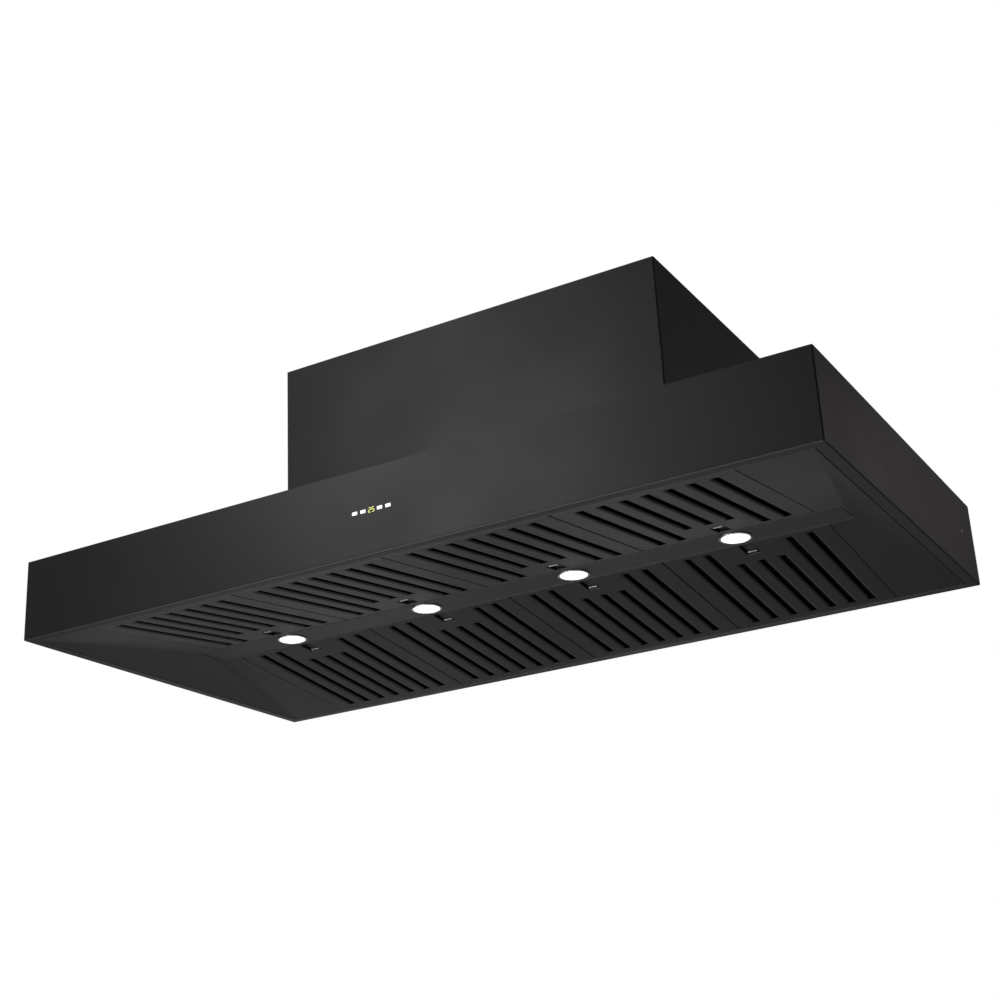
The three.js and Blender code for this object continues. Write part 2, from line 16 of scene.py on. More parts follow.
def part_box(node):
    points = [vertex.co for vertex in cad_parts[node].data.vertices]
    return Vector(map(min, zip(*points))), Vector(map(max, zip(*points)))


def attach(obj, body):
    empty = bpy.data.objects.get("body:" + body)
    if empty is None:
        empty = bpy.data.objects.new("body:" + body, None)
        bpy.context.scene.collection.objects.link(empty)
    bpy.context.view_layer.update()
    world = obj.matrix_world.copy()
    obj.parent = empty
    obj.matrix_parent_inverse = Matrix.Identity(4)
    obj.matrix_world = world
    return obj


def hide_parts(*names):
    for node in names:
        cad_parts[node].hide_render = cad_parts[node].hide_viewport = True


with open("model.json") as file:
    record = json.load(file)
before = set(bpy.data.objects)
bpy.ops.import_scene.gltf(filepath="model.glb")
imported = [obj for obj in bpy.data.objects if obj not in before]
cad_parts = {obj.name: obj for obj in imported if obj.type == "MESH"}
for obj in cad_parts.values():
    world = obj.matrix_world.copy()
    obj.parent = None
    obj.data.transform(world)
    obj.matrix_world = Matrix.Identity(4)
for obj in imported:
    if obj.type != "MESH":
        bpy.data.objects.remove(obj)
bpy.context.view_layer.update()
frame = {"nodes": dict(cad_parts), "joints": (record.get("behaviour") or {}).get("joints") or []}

bl_info = {
    "name": "Range hood finish",
    "version": (1, 0, 0),
    "blender": (4, 5, 0),
    "location": "3D View > Sidebar > Hood",
    "description": "Makes the finished surfaces of a range hood round its packed frame",
    "category": "Object",
}

MM = 0.001
QUARTER = math.pi / 2
JOINTS = {joint["name"]: joint for joint in frame["joints"]}
BANKS = ("front", "rear")
FILTERS = range(1, 5)
LAMPS = range(1, 5)
BUTTONS = range(1, 5)
SIDES = ("left", "right")
LINER = ("liner_front", "liner_rear", "liner_end_left", "liner_end_right")


# ---- Sizes and colours that a user would change ---------------------------------------------


def a_colour(name, description, default):
    return FloatVectorProperty(
        name=name, description=description, subtype="COLOR", size=3, min=0, max=1,
        default=default)


def a_length(name, description, default):
    return FloatProperty(
        name=name, description=description, subtype="DISTANCE", unit="LENGTH", default=default)


class HoodColours(bpy.types.PropertyGroup):
    coat: a_colour(
        "Powder coat", "Colour of the canopy, the chimney and the liner", (0.0125, 0.0124, 0.0130))
    coat_roughness: FloatProperty(
        name="Coat roughness", description="How matt the powder coat is",
        subtype="FACTOR", min=0, max=1, default=0.42)
    filter_coat: a_colour(
        "Filter coat", "Colour of the baffle filters", (0.0115, 0.0114, 0.0112))
    lamp: a_colour("Lamp", "Colour of the lamps' light", (1.0, 0.99, 0.94))
    lamp_strength: FloatProperty(
        name="Lamp strength", description="Brightness of the lamps' lenses", min=0, default=2.6)
    button: a_colour("Button light", "Colour of the lit buttons", (1.0, 0.99, 1.0))
    digit: a_colour("Digits", "Colour of the display's digits", (0.80, 0.82, 0.22))
    digit_strength: FloatProperty(
        name="Digit strength", description="Brightness of the display's digits", min=0, default=1.0)


class HoodSizes(bpy.types.PropertyGroup):
    sheet: a_length("Casing sheet", "Thickness of the canopy and chimney sheet", 1.5 * MM)
    fold: a_length("Fold radius", "Outer radius of the casing's folds", 2.6 * MM)
    inner_fold: a_length(
        "Inner fold radius", "Radius of the folds of the lip, liner and light bar", 1.8 * MM)
    slot_curl: a_length("Slot curl", "Radius of the filter bars' rolled edges", 6.0 * MM)
    slot_turn: FloatProperty(
        name="Slot turn", description="How far the filter bars' edges are turned up",
        subtype="ANGLE", default=math.radians(54))
    slot_gap: a_length("Slot gap", "Clear width between two rolled edges", 10.4 * MM)
    slots: IntProperty(name="Slots", description="Slots in a filter", min=1, default=7)
    filter_sheet: a_length("Filter sheet", "Thickness of the filters' sheet", 0.9 * MM)
    display_width: a_length("Display width", "Width of the display's window", 14 * MM)
    display_height: a_length("Display height", "Height of the display's window", 10 * MM)
    screw: a_length("Screw head", "Diameter of a pan-head screw", 6.4 * MM)
    blades: IntProperty(
        name="Blades", description="Blades of a blower wheel", min=6, default=40)


class HoodStage(bpy.types.PropertyGroup):
    lens: FloatProperty(
        name="Lens", description="Focal length on a 36 mm sensor, in millimetres", default=59.92)
    floor_drop: a_length("Floor drop", "How far the floor lies below the hood", 3.2)
    sky: FloatProperty(name="Room light", description="Strength of the even room light", default=0.071)
    light: FloatProperty(
        name="Lights", description="Strength of all the soft boxes together", default=1.0)


# Each soft box: where it stands, what it faces, its size, power and colour, and whether it also
# lights the floor.
SOFT_BOXES = {
    "front": ((-1.30, -2.9, 1.15), (0, -0.4, 0.2), (0.4, 0.6), 7.8, (1, 1, 0.98), False),
    "front_high": ((-1.55, -2.9, 1.8), (0, -0.4, 0.2), (0.5, 0.8), 9.6, (0.97, 0.96, 1), False),
    "glint": ((-1.6, -2.2, -1.8), (0, -0.4, 0), (1.6, 1.2), 6.0, (1, 1, 1), False),
    "below_front": ((-0.7, -1.1, -1.35), (-0.3, -0.3, 0), (2.0, 0.5), 18.0, (0.98, 0.97, 1), False),
    "below": ((0, 0, -1.45), (0, 0, 0), (2.0, 1.2), 8.5, (1, 0.97, 0.93), False),
    "low_left": ((-2.1, 2.1, -0.65), (0, 0, 0), (1.2, 0.8), 0.95, (1, 0.97, 0.96), False),
    "low_middle": ((-1.3, 2.5, -0.6), (0, 0, 0), (1.2, 0.8), 0.55, (1, 0.97, 0.96), False),
    "low_back": ((-0.6, 2.9, -0.45), (0, 0, 0), (1.2, 0.6), 0.90, (1, 0.98, 0.95), False),
    "right": ((2.2, 2.3, 0.9), (0.7, 0, 0.1), (0.8, 0.8), 1.5, (1, 0.93, 0.90), False),
    "top": ((0, 0.2, 3.0), (0, 0, 0), (2.4, 2.0), 45.0, (1, 1, 1), True),
    "left": ((-3.2, 0.7, 1.3), (-0.5, 0, 0.1), (1.4, 1.4), 22.0, (1, 1, 1), False),
    "back": ((-0.9, 3.3, 1.5), (0, 0.3, 0.2), (2.6, 1.6), 60.0, (1, 1, 1), False),
}


# ---- Meshes -------------------------------------------------------------------------------


def piece_from(bm, name):
    mesh = bpy.data.meshes.new(name)
    bm.to_mesh(mesh)
    bm.free()
    piece = bpy.data.objects.new(name, mesh)
    bpy.context.scene.collection.objects.link(piece)
    return piece


def settle(piece):
    """Turns the piece's modifiers into plain mesh."""
    graph = bpy.context.evaluated_depsgraph_get()
    mesh = bpy.data.meshes.new_from_object(piece.evaluated_get(graph))
    piece.modifiers.clear()
    piece.data = mesh
    return piece


def modify(piece, kind, **settings):
    modifier = piece.modifiers.new(kind.title(), kind)
    for name, value in settings.items():
        setattr(modifier, name, value)
    return settle(piece)


def thicken(piece, thickness):
    """Gives a skin its thickness, behind its visible side."""
    return modify(piece, "SOLIDIFY", thickness=thickness, offset=-1, use_even_offset=True)


def ease(piece, width, segments=2, angle=40):
    """Rounds the edges that turn by more than the angle."""
    return modify(piece, "BEVEL", width=width, segments=segments, limit_method="ANGLE",
                  angle_limit=math.radians(angle), use_clamp_overlap=True)


def cut(piece, cutter):
    modify(piece, "BOOLEAN", operation="DIFFERENCE", solver="EXACT", object=cutter)
    bpy.data.objects.remove(cutter)
    return piece


def finish(piece, material, body, slot, *nodes, angle=32):
    """Gives the piece its material and shading, and says what it moves with and stands for."""
    mesh = piece.data
    mesh.materials.clear()
    mesh.materials.append(material)
    mesh.polygons.foreach_set("use_smooth", [True] * len(mesh.polygons))
    mesh.polygons.foreach_set("material_index", [0] * len(mesh.polygons))
    mesh.set_sharp_from_angle(angle=math.radians(angle))
    modify(piece, "WEIGHTED_NORMAL", keep_sharp=True, weight=100)
    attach(piece, body)
    if nodes:
        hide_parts(*nodes)
    return piece


def cad_copy(node, name):
    """A merged copy of a CAD node, with its flat faces whole."""
    bm = bmesh.new()
    bm.from_mesh(frame["nodes"][node].data)
    bmesh.ops.remove_doubles(bm, verts=bm.verts, dist=0.01 * MM)
    bmesh.ops.dissolve_limit(
        bm, angle_limit=math.radians(0.6), verts=bm.verts, edges=bm.edges)
    return piece_from(bm, name)


def rectangle_loop(half_x, half_y, radius, steps=6):
    """Points round a rectangle with round corners, anticlockwise from its right-hand side."""
    radius = max(radius, 0)
    points = []
    for corner, (sx, sy) in enumerate(((1, 1), (-1, 1), (-1, -1), (1, -1))):
        for step in range(steps + 1):
            angle = (corner + step / steps) * QUARTER
            points.append((
                sx * (half_x - radius) + math.cos(angle) * radius,
                sy * (half_y - radius) + math.sin(angle) * radius))
    return points


def loft(bm, loops, closed=True):
    """Joins loops of equal length; a loop runs anticlockwise seen from where the path starts."""
    rows = [[bm.verts.new(point) for point in loop] for loop in loops]
    for upper, lower in zip(rows, rows[1:]):
        count = len(upper)
        for i in range(count if closed else count - 1):
            j = (i + 1) % count
            bm.faces.new((upper[i], lower[i], lower[j], upper[j]))
    return rows


def tidy(bm):
    bmesh.ops.remove_doubles(bm, verts=bm.verts, dist=0.002 * MM)
    bmesh.ops.dissolve_degenerate(bm, edges=bm.edges, dist=0.002 * MM)
    return bm


def arc(centre, radius, start, end, steps=5):
    """Points of an arc in a profile's plane, angles in radians."""
    return [
        (centre[0] + math.cos(start + (end - start) * step / steps) * radius,
         centre[1] + math.sin(start + (end - start) * step / steps) * radius)
        for step in range(steps + 1)]


def turned(name, profile, centre, steps=64, closed=True):
    """A solid of revolution about Z; its profile is (radius, height) from the centre."""
    bm = bmesh.new()
    outline = [*profile, profile[0]] if closed else profile
    loops = []
    for radius, height in outline:
        loops.append([
            Vector((math.cos(a) * radius, math.sin(a) * radius, height)) + Vector(centre)
            for a in (math.tau * step / steps for step in range(steps))])
    loft(bm, loops)
    tidy(bm)
    bmesh.ops.recalc_face_normals(bm, faces=bm.faces)
    return piece_from(bm, name)


def blocks(name, boxes):
    """One mesh of separate boxes, each by its lowest and highest corner."""
    bm = bmesh.new()
    for low, high in boxes:
        size = Vector(high) - Vector(low)
        middle = (Vector(high) + Vector(low)) / 2
        place = Matrix.Translation(middle) @ Matrix.Diagonal((*size, 1))
        bmesh.ops.create_cube(bm, size=1, matrix=place)
    return piece_from(bm, name)


def upright_plate(bm, outline, place, depth):
    """Closes an outline in X and Y into a plate, with its face towards the outline's +Z."""
    top = [(x, y, 0) for x, y in outline]
    rows = loft(bm, [[place @ Vector(p) for p in top],
                     [place @ Vector((x, y, -depth)) for x, y, _ in top]])
    bm.faces.new(rows[0])
    bm.faces.new(list(reversed(rows[1])))


# ---- Node trees for what repeats ------------------------------------------------------------


def new_tree(name, sizes):
    """A geometry node tree with a named input for each size, and one for the material."""
    tree = bpy.data.node_groups.new(name, "GeometryNodeTree")
    face = tree.interface
    face.new_socket("Geometry", in_out="INPUT", socket_type="NodeSocketGeometry")
    for label, kind in sizes.items():
        face.new_socket(label, in_out="INPUT", socket_type=f"NodeSocket{kind}")
    face.new_socket("Material", in_out="INPUT", socket_type="NodeSocketMaterial")
    face.new_socket("Geometry", in_out="OUTPUT", socket_type="NodeSocketGeometry")
    source = tree.nodes.new("NodeGroupInput")
    return tree, source.outputs


def add(tree, kind, inputs=None, **settings):
    """Adds a node; an input is another node's socket, or a plain value."""
    node = tree.nodes.new(kind)
    for name, value in settings.items():
        setattr(node, name, value)
    for key, value in (inputs or {}).items():
        socket = node.inputs[key]
        if isinstance(value, bpy.types.NodeSocket):
            tree.links.new(value, socket)
        else:
            socket.default_value = value
    return node


def maths(tree, operation, first, second=0.0):
    return add(tree, "ShaderNodeMath", {0: first, 1: second}, operation=operation).outputs[0]


def vector(tree, x=0.0, y=0.0, z=0.0):
    return add(tree, "ShaderNodeCombineXYZ", {0: x, 1: y, 2: z}).outputs[0]


def moved(tree, geometry, offset):
    return add(tree, "GeometryNodeTransform", {
        "Geometry": geometry, "Translation": offset}).outputs[0]


def joined(tree, *geometries):
    node = tree.nodes.new("GeometryNodeJoinGeometry")
    for geometry in reversed(geometries):
        tree.links.new(geometry, node.inputs[0])
    return node.outputs[0]


def end_tree(tree, geometry, material):
    """Ends a tree in real meshes with their material."""
    real = add(tree, "GeometryNodeRealizeInstances", {"Geometry": geometry}).outputs[0]
    dressed = add(tree, "GeometryNodeSetMaterial", {"Geometry": real, "Material": material})
    target = tree.nodes.new("NodeGroupOutput")
    tree.links.new(dressed.outputs[0], target.inputs[0])
    return tree


def grow(name, tree, values, points=(), directions=()):
    """Runs a tree on a mesh of points, and keeps the result as plain mesh."""
    mesh = bpy.data.meshes.new(name)
    mesh.from_pydata([tuple(point) for point in points], [], [])
    if directions:
        layer = mesh.attributes.new("direction", "FLOAT_VECTOR", "POINT")
        layer.data.foreach_set("vector", [value for way in directions for value in way])
    piece = bpy.data.objects.new(name, mesh)
    bpy.context.scene.collection.objects.link(piece)
    modifier = piece.modifiers.new("Pattern", "NODES")
    modifier.node_group = tree
    sockets = {item.name: item.identifier for item in tree.interface.items_tree
               if item.in_out == "INPUT"}
    for label, value in values.items():
        modifier[sockets[label]] = value
    return settle(piece)


def channel_tree():
    """Folded channels side by side: a roof and two legs each, along Y."""
    tree, given = new_tree("Baffle channels", {
        "Count": "Int", "Pitch": "Float", "Width": "Float", "Leg": "Float",
        "Sheet": "Float", "Length": "Float"})
    roof = add(tree, "GeometryNodeMeshCube", {
        "Size": vector(tree, given["Width"], given["Length"], given["Sheet"])}).outputs[0]
    leg = add(tree, "GeometryNodeMeshCube", {
        "Size": vector(tree, given["Sheet"], given["Length"], given["Leg"])}).outputs[0]
    aside = maths(tree, "MULTIPLY", maths(tree, "SUBTRACT", given["Width"], given["Sheet"]), 0.5)
    down = maths(tree, "MULTIPLY", maths(tree, "ADD", given["Leg"], given["Sheet"]), -0.5)
    right = moved(tree, leg, vector(tree, aside, 0.0, down))
    left = moved(tree, leg, vector(tree, maths(tree, "MULTIPLY", aside, -1.0), 0.0, down))
    channel = joined(tree, roof, left, right)
    span = maths(tree, "MULTIPLY", maths(tree, "SUBTRACT", given["Count"], 1.0), given["Pitch"])
    line = add(tree, "GeometryNodeMeshLine", {
        "Count": given["Count"], "Offset": vector(tree, given["Pitch"]),
        "Start Location": vector(tree, maths(tree, "MULTIPLY", span, -0.5))}).outputs[0]
    copies = add(tree, "GeometryNodeInstanceOnPoints", {"Points": line, "Instance": channel})
    return end_tree(tree, copies.outputs[0], given["Material"])


def wheel_tree():
    """A squirrel cage about Z: curved blades, a ring at each end, a disc and a hub."""
    tree, given = new_tree("Squirrel cage", {
        "Blades": "Int", "Radius": "Float", "Blade Depth": "Float", "Width": "Float",
        "Sheet": "Float", "Curve": "Float", "Hub": "Float"})
    blade = add(tree, "GeometryNodeMeshCube", {
        "Size": vector(tree, given["Blade Depth"], given["Sheet"], given["Width"]),
        "Vertices X": 7}).outputs[0]
    place = add(tree, "GeometryNodeInputPosition").outputs[0]
    along = add(tree, "ShaderNodeSeparateXYZ", {0: place}).outputs[0]
    share = maths(tree, "DIVIDE", along, given["Blade Depth"])
    bow = maths(tree, "MULTIPLY", maths(tree, "MULTIPLY", share, share), given["Curve"])
    curved = add(tree, "GeometryNodeSetPosition", {
        "Geometry": blade, "Offset": vector(tree, 0.0, bow)}).outputs[0]
    middle = maths(tree, "SUBTRACT", given["Radius"],
                   maths(tree, "MULTIPLY", given["Blade Depth"], 0.5))
    circle = add(tree, "GeometryNodeMeshCircle", {
        "Vertices": given["Blades"], "Radius": middle}).outputs[0]
    index = add(tree, "GeometryNodeInputIndex").outputs[0]
    angle = maths(tree, "DIVIDE", maths(tree, "MULTIPLY", index, math.tau), given["Blades"])
    cage = add(tree, "GeometryNodeInstanceOnPoints", {
        "Points": circle, "Instance": curved, "Rotation": vector(tree, 0.0, 0.0, angle)}).outputs[0]
    hoop = add(tree, "GeometryNodeCurvePrimitiveCircle", {
        "Resolution": 72, "Radius": middle}, mode="RADIUS").outputs[0]
    section = add(tree, "GeometryNodeCurvePrimitiveQuadrilateral", {
        "Width": given["Blade Depth"], "Height": maths(tree, "MULTIPLY", given["Sheet"], 4.0)})
    ring = add(tree, "GeometryNodeCurveToMesh", {
        "Curve": hoop, "Profile Curve": section.outputs[0]}).outputs[0]
    half = maths(tree, "MULTIPLY", given["Width"], 0.5)
    top = moved(tree, ring, vector(tree, 0.0, 0.0, half))
    bottom = moved(tree, ring, vector(tree, 0.0, 0.0, maths(tree, "MULTIPLY", half, -1.0)))
    disc = add(tree, "GeometryNodeMeshCylinder", {
        "Vertices": 72, "Radius": given["Radius"],
        "Depth": maths(tree, "MULTIPLY", given["Sheet"], 2.0)}).outputs[0]
    hub = add(tree, "GeometryNodeMeshCylinder", {
        "Vertices": 32, "Radius": given["Hub"],
        "Depth": maths(tree, "MULTIPLY", given["Hub"], 2.0)}).outputs[0]
    return end_tree(tree, joined(tree, cage, top, bottom, disc, hub), given["Material"])


def screw_tree():
    """Pan-head screws on points, each along its own direction, with a crossed recess."""
    tree, given = new_tree("Pan-head screws", {"Diameter": "Float", "Height": "Float"})
    radius = maths(tree, "MULTIPLY", given["Diameter"], 0.5)
    ball = add(tree, "GeometryNodeMeshUVSphere", {
        "Segments": 24, "Rings": 12, "Radius": 1.0}).outputs[0]
    dome = add(tree, "GeometryNodeTransform", {
        "Geometry": ball, "Scale": vector(tree, radius, radius, given["Height"])}).outputs[0]
    slot = maths(tree, "MULTIPLY", given["Diameter"], 0.56)
    thin = maths(tree, "MULTIPLY", given["Diameter"], 0.13)
    lift = vector(tree, 0.0, 0.0, given["Height"])
    bars = [
        moved(tree, add(tree, "GeometryNodeMeshCube", {"Size": size}).outputs[0], lift)
        for size in (vector(tree, slot, thin, given["Height"]),
                     vector(tree, thin, slot, given["Height"]))]
    head = add(tree, "GeometryNodeMeshBoolean", {
        "Mesh 1": dome, "Mesh 2": joined(tree, *bars)}, operation="DIFFERENCE").outputs[0]
    way = add(tree, "GeometryNodeInputNamedAttribute", {"Name": "direction"},
              data_type="FLOAT_VECTOR").outputs[0]
    aim = add(tree, "FunctionNodeAlignRotationToVector", {"Vector": way}, axis="Z").outputs[0]
    heads = add(tree, "GeometryNodeInstanceOnPoints", {
        "Points": given["Geometry"], "Instance": head, "Rotation": aim}).outputs[0]
    return end_tree(tree, heads, given["Material"])


def fin_tree():
    """Rings in a row along Z, such as a motor's cooling fins."""
    tree, given = new_tree("Cooling fins", {
        "Count": "Int", "Radius": "Float", "Depth": "Float", "Sheet": "Float", "Pitch": "Float"})
    hoop = add(tree, "GeometryNodeCurvePrimitiveCircle", {
        "Resolution": 64, "Radius": given["Radius"]}, mode="RADIUS").outputs[0]
    section = add(tree, "GeometryNodeCurvePrimitiveQuadrilateral", {
        "Width": given["Depth"], "Height": given["Sheet"]}).outputs[0]
    fin = add(tree, "GeometryNodeCurveToMesh", {
        "Curve": hoop, "Profile Curve": section}).outputs[0]
    line = add(tree, "GeometryNodeMeshLine", {
        "Count": given["Count"], "Offset": vector(tree, 0.0, 0.0, given["Pitch"])}).outputs[0]
    row = add(tree, "GeometryNodeInstanceOnPoints", {"Points": line, "Instance": fin}).outputs[0]
    return end_tree(tree, row, given["Material"])


# ---- Finishes -----------------------------------------------------------------------------


def shade(tree, kind, inputs=None, **settings):
    return add(tree, kind, inputs, **settings).outputs[0]


def new_finish(name, **constants):
    """A material with a Principled shader whose constants sit on its own sockets."""
    material = bpy.data.materials.new(name)
    material.use_nodes = True
    tree = material.node_tree
    shader = tree.nodes["Principled BSDF"]
    for label, value in constants.items():
        shader.inputs[label.replace("_", " ")].default_value = value
    return material, tree, shader


def grain(tree, scale, detail=3.0, stretch=(1, 1, 1)):
    """Noise over the object's own coordinates, its scale in patches per metre."""
    spot = add(tree, "ShaderNodeTexCoord").outputs["Object"]
    place = add(tree, "ShaderNodeMapping", {"Vector": spot, "Scale": stretch}).outputs[0]
    noise = add(tree, "ShaderNodeTexNoise", {"Vector": place, "Scale": scale, "Detail": detail})
    return noise.outputs[0]


def spread(tree, value, low, high, start=0.3, end=0.7):
    return shade(tree, "ShaderNodeMapRange", {
        "Value": value, "From Min": start, "From Max": end, "To Min": low, "To Max": high})


def mix_colours(tree, share, first, second):
    mix = tree.nodes.new("ShaderNodeMix")
    mix.data_type = "RGBA"
    tree.links.new(share, mix.inputs[0])
    mix.inputs[6].default_value = (*first, 1)
    mix.inputs[7].default_value = (*second, 1)
    return mix.outputs[2]


def scaled(colour, factor):
    return tuple(min(channel * factor, 1) for channel in colour)


def dress(tree, shader, tint, gloss):
    """Links a colour and a roughness to the shader."""
    tree.links.new(tint, shader.inputs["Base Color"])
    tree.links.new(gloss, shader.inputs["Roughness"])


def bumpy(tree, shader, height, strength, distance):
    bump = add(tree, "ShaderNodeBump", {
        "Height": height, "Strength": strength, "Distance": distance})
    tree.links.new(bump.outputs[0], shader.inputs["Normal"])


def powder_coat(name, colour, roughness):
    """Black powder coat: a fine leathery grain, with faint clouding in colour and gloss."""
    material, tree, shader = new_finish(name, Metallic=0.0, IOR=1.5)
    cloud = grain(tree, 5.0, 4.0)
    speck = grain(tree, 900.0, 2.0)
    tint = mix_colours(tree, spread(tree, cloud, 0, 1), scaled(colour, 0.9), scaled(colour, 1.1))
    dress(tree, shader, tint, shade(tree, "ShaderNodeMath", {
        0: spread(tree, cloud, roughness - 0.03, roughness + 0.03),
        1: spread(tree, speck, -0.03, 0.05)}, operation="ADD"))
    bumpy(tree, shader, speck, 0.16, 0.08 * MM)
    return material


def painted_shade_black(name):
    """Painted shade: a near-black matt finish for the filters' inside, standing in for the shade in
    the slots; it gives almost no light back.
    """
    material, tree, shader = new_finish(name, Specular_IOR_Level=0.05)
    tint = mix_colours(tree, grain(tree, 40.0), (0.0012, 0.0012, 0.0012), (0.004, 0.004, 0.0038))
    dress(tree, shader, tint, spread(tree, grain(tree, 90.0), 0.85, 1.0))
    return material


def brushed_steel(name, colour, roughness, stretch):
    material, tree, shader = new_finish(name, Metallic=1.0)
    lines = grain(tree, 60.0, 4.0, stretch)
    tint = mix_colours(tree, lines, scaled(colour, 0.82), scaled(colour, 1.12))
    dress(tree, shader, tint, spread(tree, lines, roughness - 0.06, roughness + 0.1))
    bumpy(tree, shader, lines, 0.12, 0.03 * MM)
    return material


def galvanised(name):
    """Zinc-coated sheet with its crystal flakes."""
    material, tree, shader = new_finish(name, Metallic=0.9)
    spot = add(tree, "ShaderNodeTexCoord").outputs["Object"]
    flakes = add(tree, "ShaderNodeTexVoronoi", {"Vector": spot, "Scale": 110.0})
    level = add(tree, "ShaderNodeSeparateColor", {0: flakes.outputs["Color"]}).outputs[0]
    tint = mix_colours(tree, level, (0.36, 0.38, 0.40), (0.56, 0.58, 0.60))
    dress(tree, shader, tint, spread(tree, level, 0.36, 0.58, 0, 1))
    bumpy(tree, shader, grain(tree, 260.0), 0.1, 0.05 * MM)
    return material


def moulded(name, colour, roughness):
    """Moulded plastic with a fine spark-eroded texture."""
    material, tree, shader = new_finish(name, IOR=1.46)
    texture = grain(tree, 1300.0, 2.0)
    tint = mix_colours(tree, grain(tree, 9.0), scaled(colour, 0.88), scaled(colour, 1.12))
    dress(tree, shader, tint, spread(tree, texture, roughness - 0.05, roughness + 0.07))
    bumpy(tree, shader, texture, 0.2, 0.06 * MM)
    return material


def cast_aluminium(name):
    material, tree, shader = new_finish(name, Metallic=1.0)
    skin = grain(tree, 420.0, 5.0)
    tint = mix_colours(tree, grain(tree, 35.0), (0.42, 0.43, 0.44), (0.58, 0.59, 0.60))
    dress(tree, shader, tint, spread(tree, skin, 0.4, 0.6))
    bumpy(tree, shader, skin, 0.35, 0.12 * MM)
    return material


def lit(name, colour, strength, roughness, centres=None, reach=1.0):
    """A lit diffuser: brightest at its middle, with a faint speckle."""
    material, tree, shader = new_finish(
        name, Base_Color=(*colour, 1), Roughness=roughness, IOR=1.45)
    shader.inputs["Emission Color"].default_value = (*colour, 1)
    glow = spread(tree, grain(tree, 700.0, 2.0), strength * 0.93, strength * 1.07)
    if centres:
        glow = shade(tree, "ShaderNodeMath", {
            0: glow, 1: nearness(tree, centres, reach)}, operation="MULTIPLY")
    tree.links.new(glow, shader.inputs["Emission Strength"])
    return material


def nearness(tree, centres, reach):
    """One round the nearest centre, falling to a third at the given reach from it."""
    spot = add(tree, "ShaderNodeTexCoord").outputs["Object"]
    nearest = None
    for centre in centres:
        far = add(tree, "ShaderNodeVectorMath", {0: spot, 1: centre}, operation="DISTANCE")
        far = far.outputs["Value"]
        nearest = far if nearest is None else maths(tree, "MINIMUM", nearest, far)
    return shade(tree, "ShaderNodeMapRange", {
        "Value": nearest, "From Min": 0.6 * reach, "From Max": reach, "To Min": 1.0,
        "To Max": 0.3})


def tinted_window(name):
    """The display's dark window."""
    material, tree, shader = new_finish(name, IOR=1.5)
    tint = mix_colours(tree, grain(tree, 300.0), (0.012, 0.013, 0.011), (0.020, 0.021, 0.018))
    dress(tree, shader, tint, spread(tree, grain(tree, 500.0), 0.34, 0.42))
    return material


def floor_paint(name):
    """Pale to the eye, while it throws little light back at the hood."""
    material, tree, shader = new_finish(name, IOR=1.4)
    tint = mix_colours(tree, grain(tree, 2.0), (0.80, 0.80, 0.79), (0.84, 0.84, 0.83))
    dress(tree, shader, tint, spread(tree, grain(tree, 30.0), 0.55, 0.7))
    seen = add(tree, "ShaderNodeLightPath").outputs["Is Camera Ray"]
    shader.inputs["Emission Color"].default_value = (1, 1, 0.99, 1)
    tree.links.new(maths(tree, "MULTIPLY", seen, 0.55), shader.inputs["Emission Strength"])
    return material


def make_finishes(colours, centres, lens_radius):
    return {
        "coat": powder_coat("black_powder_coat", tuple(colours.coat), colours.coat_roughness),
        "filter": powder_coat("filter_coat", tuple(colours.filter_coat), 0.40),
        # painted shade: the filters' inside is near black to stand for the shade in the slots
        "inside": painted_shade_black("filter_inside_painted_shade"),
        "bezel": brushed_steel("bezel_steel", (0.56, 0.56, 0.57), 0.24, (1, 1, 6)),
        "latch": brushed_steel("latch_steel", (0.36, 0.36, 0.35), 0.28, (1, 8, 1)),
        "zinc": galvanised("galvanised_sheet"),
        "cast": cast_aluminium("cast_aluminium"),
        "plastic": moulded("black_plastic", (0.022, 0.022, 0.023), 0.5),
        "lamp": lit("lit_opal", tuple(colours.lamp), colours.lamp_strength, 0.35,
                    centres, lens_radius),
        "button": lit("lit_button", tuple(colours.button), 1.05, 0.3),
        "digit": lit("lit_digit", tuple(colours.digit), colours.digit_strength, 0.4),
        "window": tinted_window("display_window"),
        "screw": brushed_steel("screw_steel", (0.62, 0.62, 0.61), 0.26, (3, 3, 3)),
        "floor": floor_paint("floor_paint"),
    }


FINISH = {}     # filled by the first operator, from the colours above


# ---- Casing -------------------------------------------------------------------------------


def centred_loop(node_middle, half_x, half_y, radius, height):
    return [(node_middle[0] + x, node_middle[1] + y, height)
            for x, y in rectangle_loop(half_x, half_y, radius)]


def ring_skin(name, middle, half_x, half_y, corner, profile, cap=False):
    """Sweeps a profile of (inset, height) pairs round a rectangle."""
    bm = bmesh.new()
    rows = loft(bm, [
        centred_loop(middle, half_x - inset, half_y - inset, corner - inset, height)
        for inset, height in profile])
    if cap:
        bm.faces.new(list(reversed(rows[-1])))
    return piece_from(tidy(bm), name)


def fold_up(inset, height, radius):
    """A quarter fold from a wall that comes down to a sheet that runs inwards."""
    return arc((inset + radius, height + radius), radius, math.pi, 1.5 * math.pi)


def window_cutter(name, windows, y_low, y_high, clearance):
    """Upright holes with round corners through the front wall."""
    bm = bmesh.new()
    for low, high, corner in windows:
        half_x = (high.x - low.x) / 2 + clearance
        half_z = (high.z - low.z) / 2 + clearance
        middle = (low + high) / 2
        place = Matrix.Translation((middle.x, y_low, middle.z)) @ Matrix.Rotation(QUARTER, 4, "X")
        upright_plate(bm, rectangle_loop(half_x, half_z, corner, 4), place, y_high - y_low)
    bmesh.ops.recalc_face_normals(bm, faces=bm.faces)
    return piece_from(bm, name)


def button_face(index):
    """The visible front of a button: its CAD box without the hidden flange."""
    low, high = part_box(f"button_{index}")
    flange = 1.2 * MM
    return (Vector((low.x + flange, low.y, low.z + flange)),
            Vector((high.x - flange, high.y, high.z - flange)))


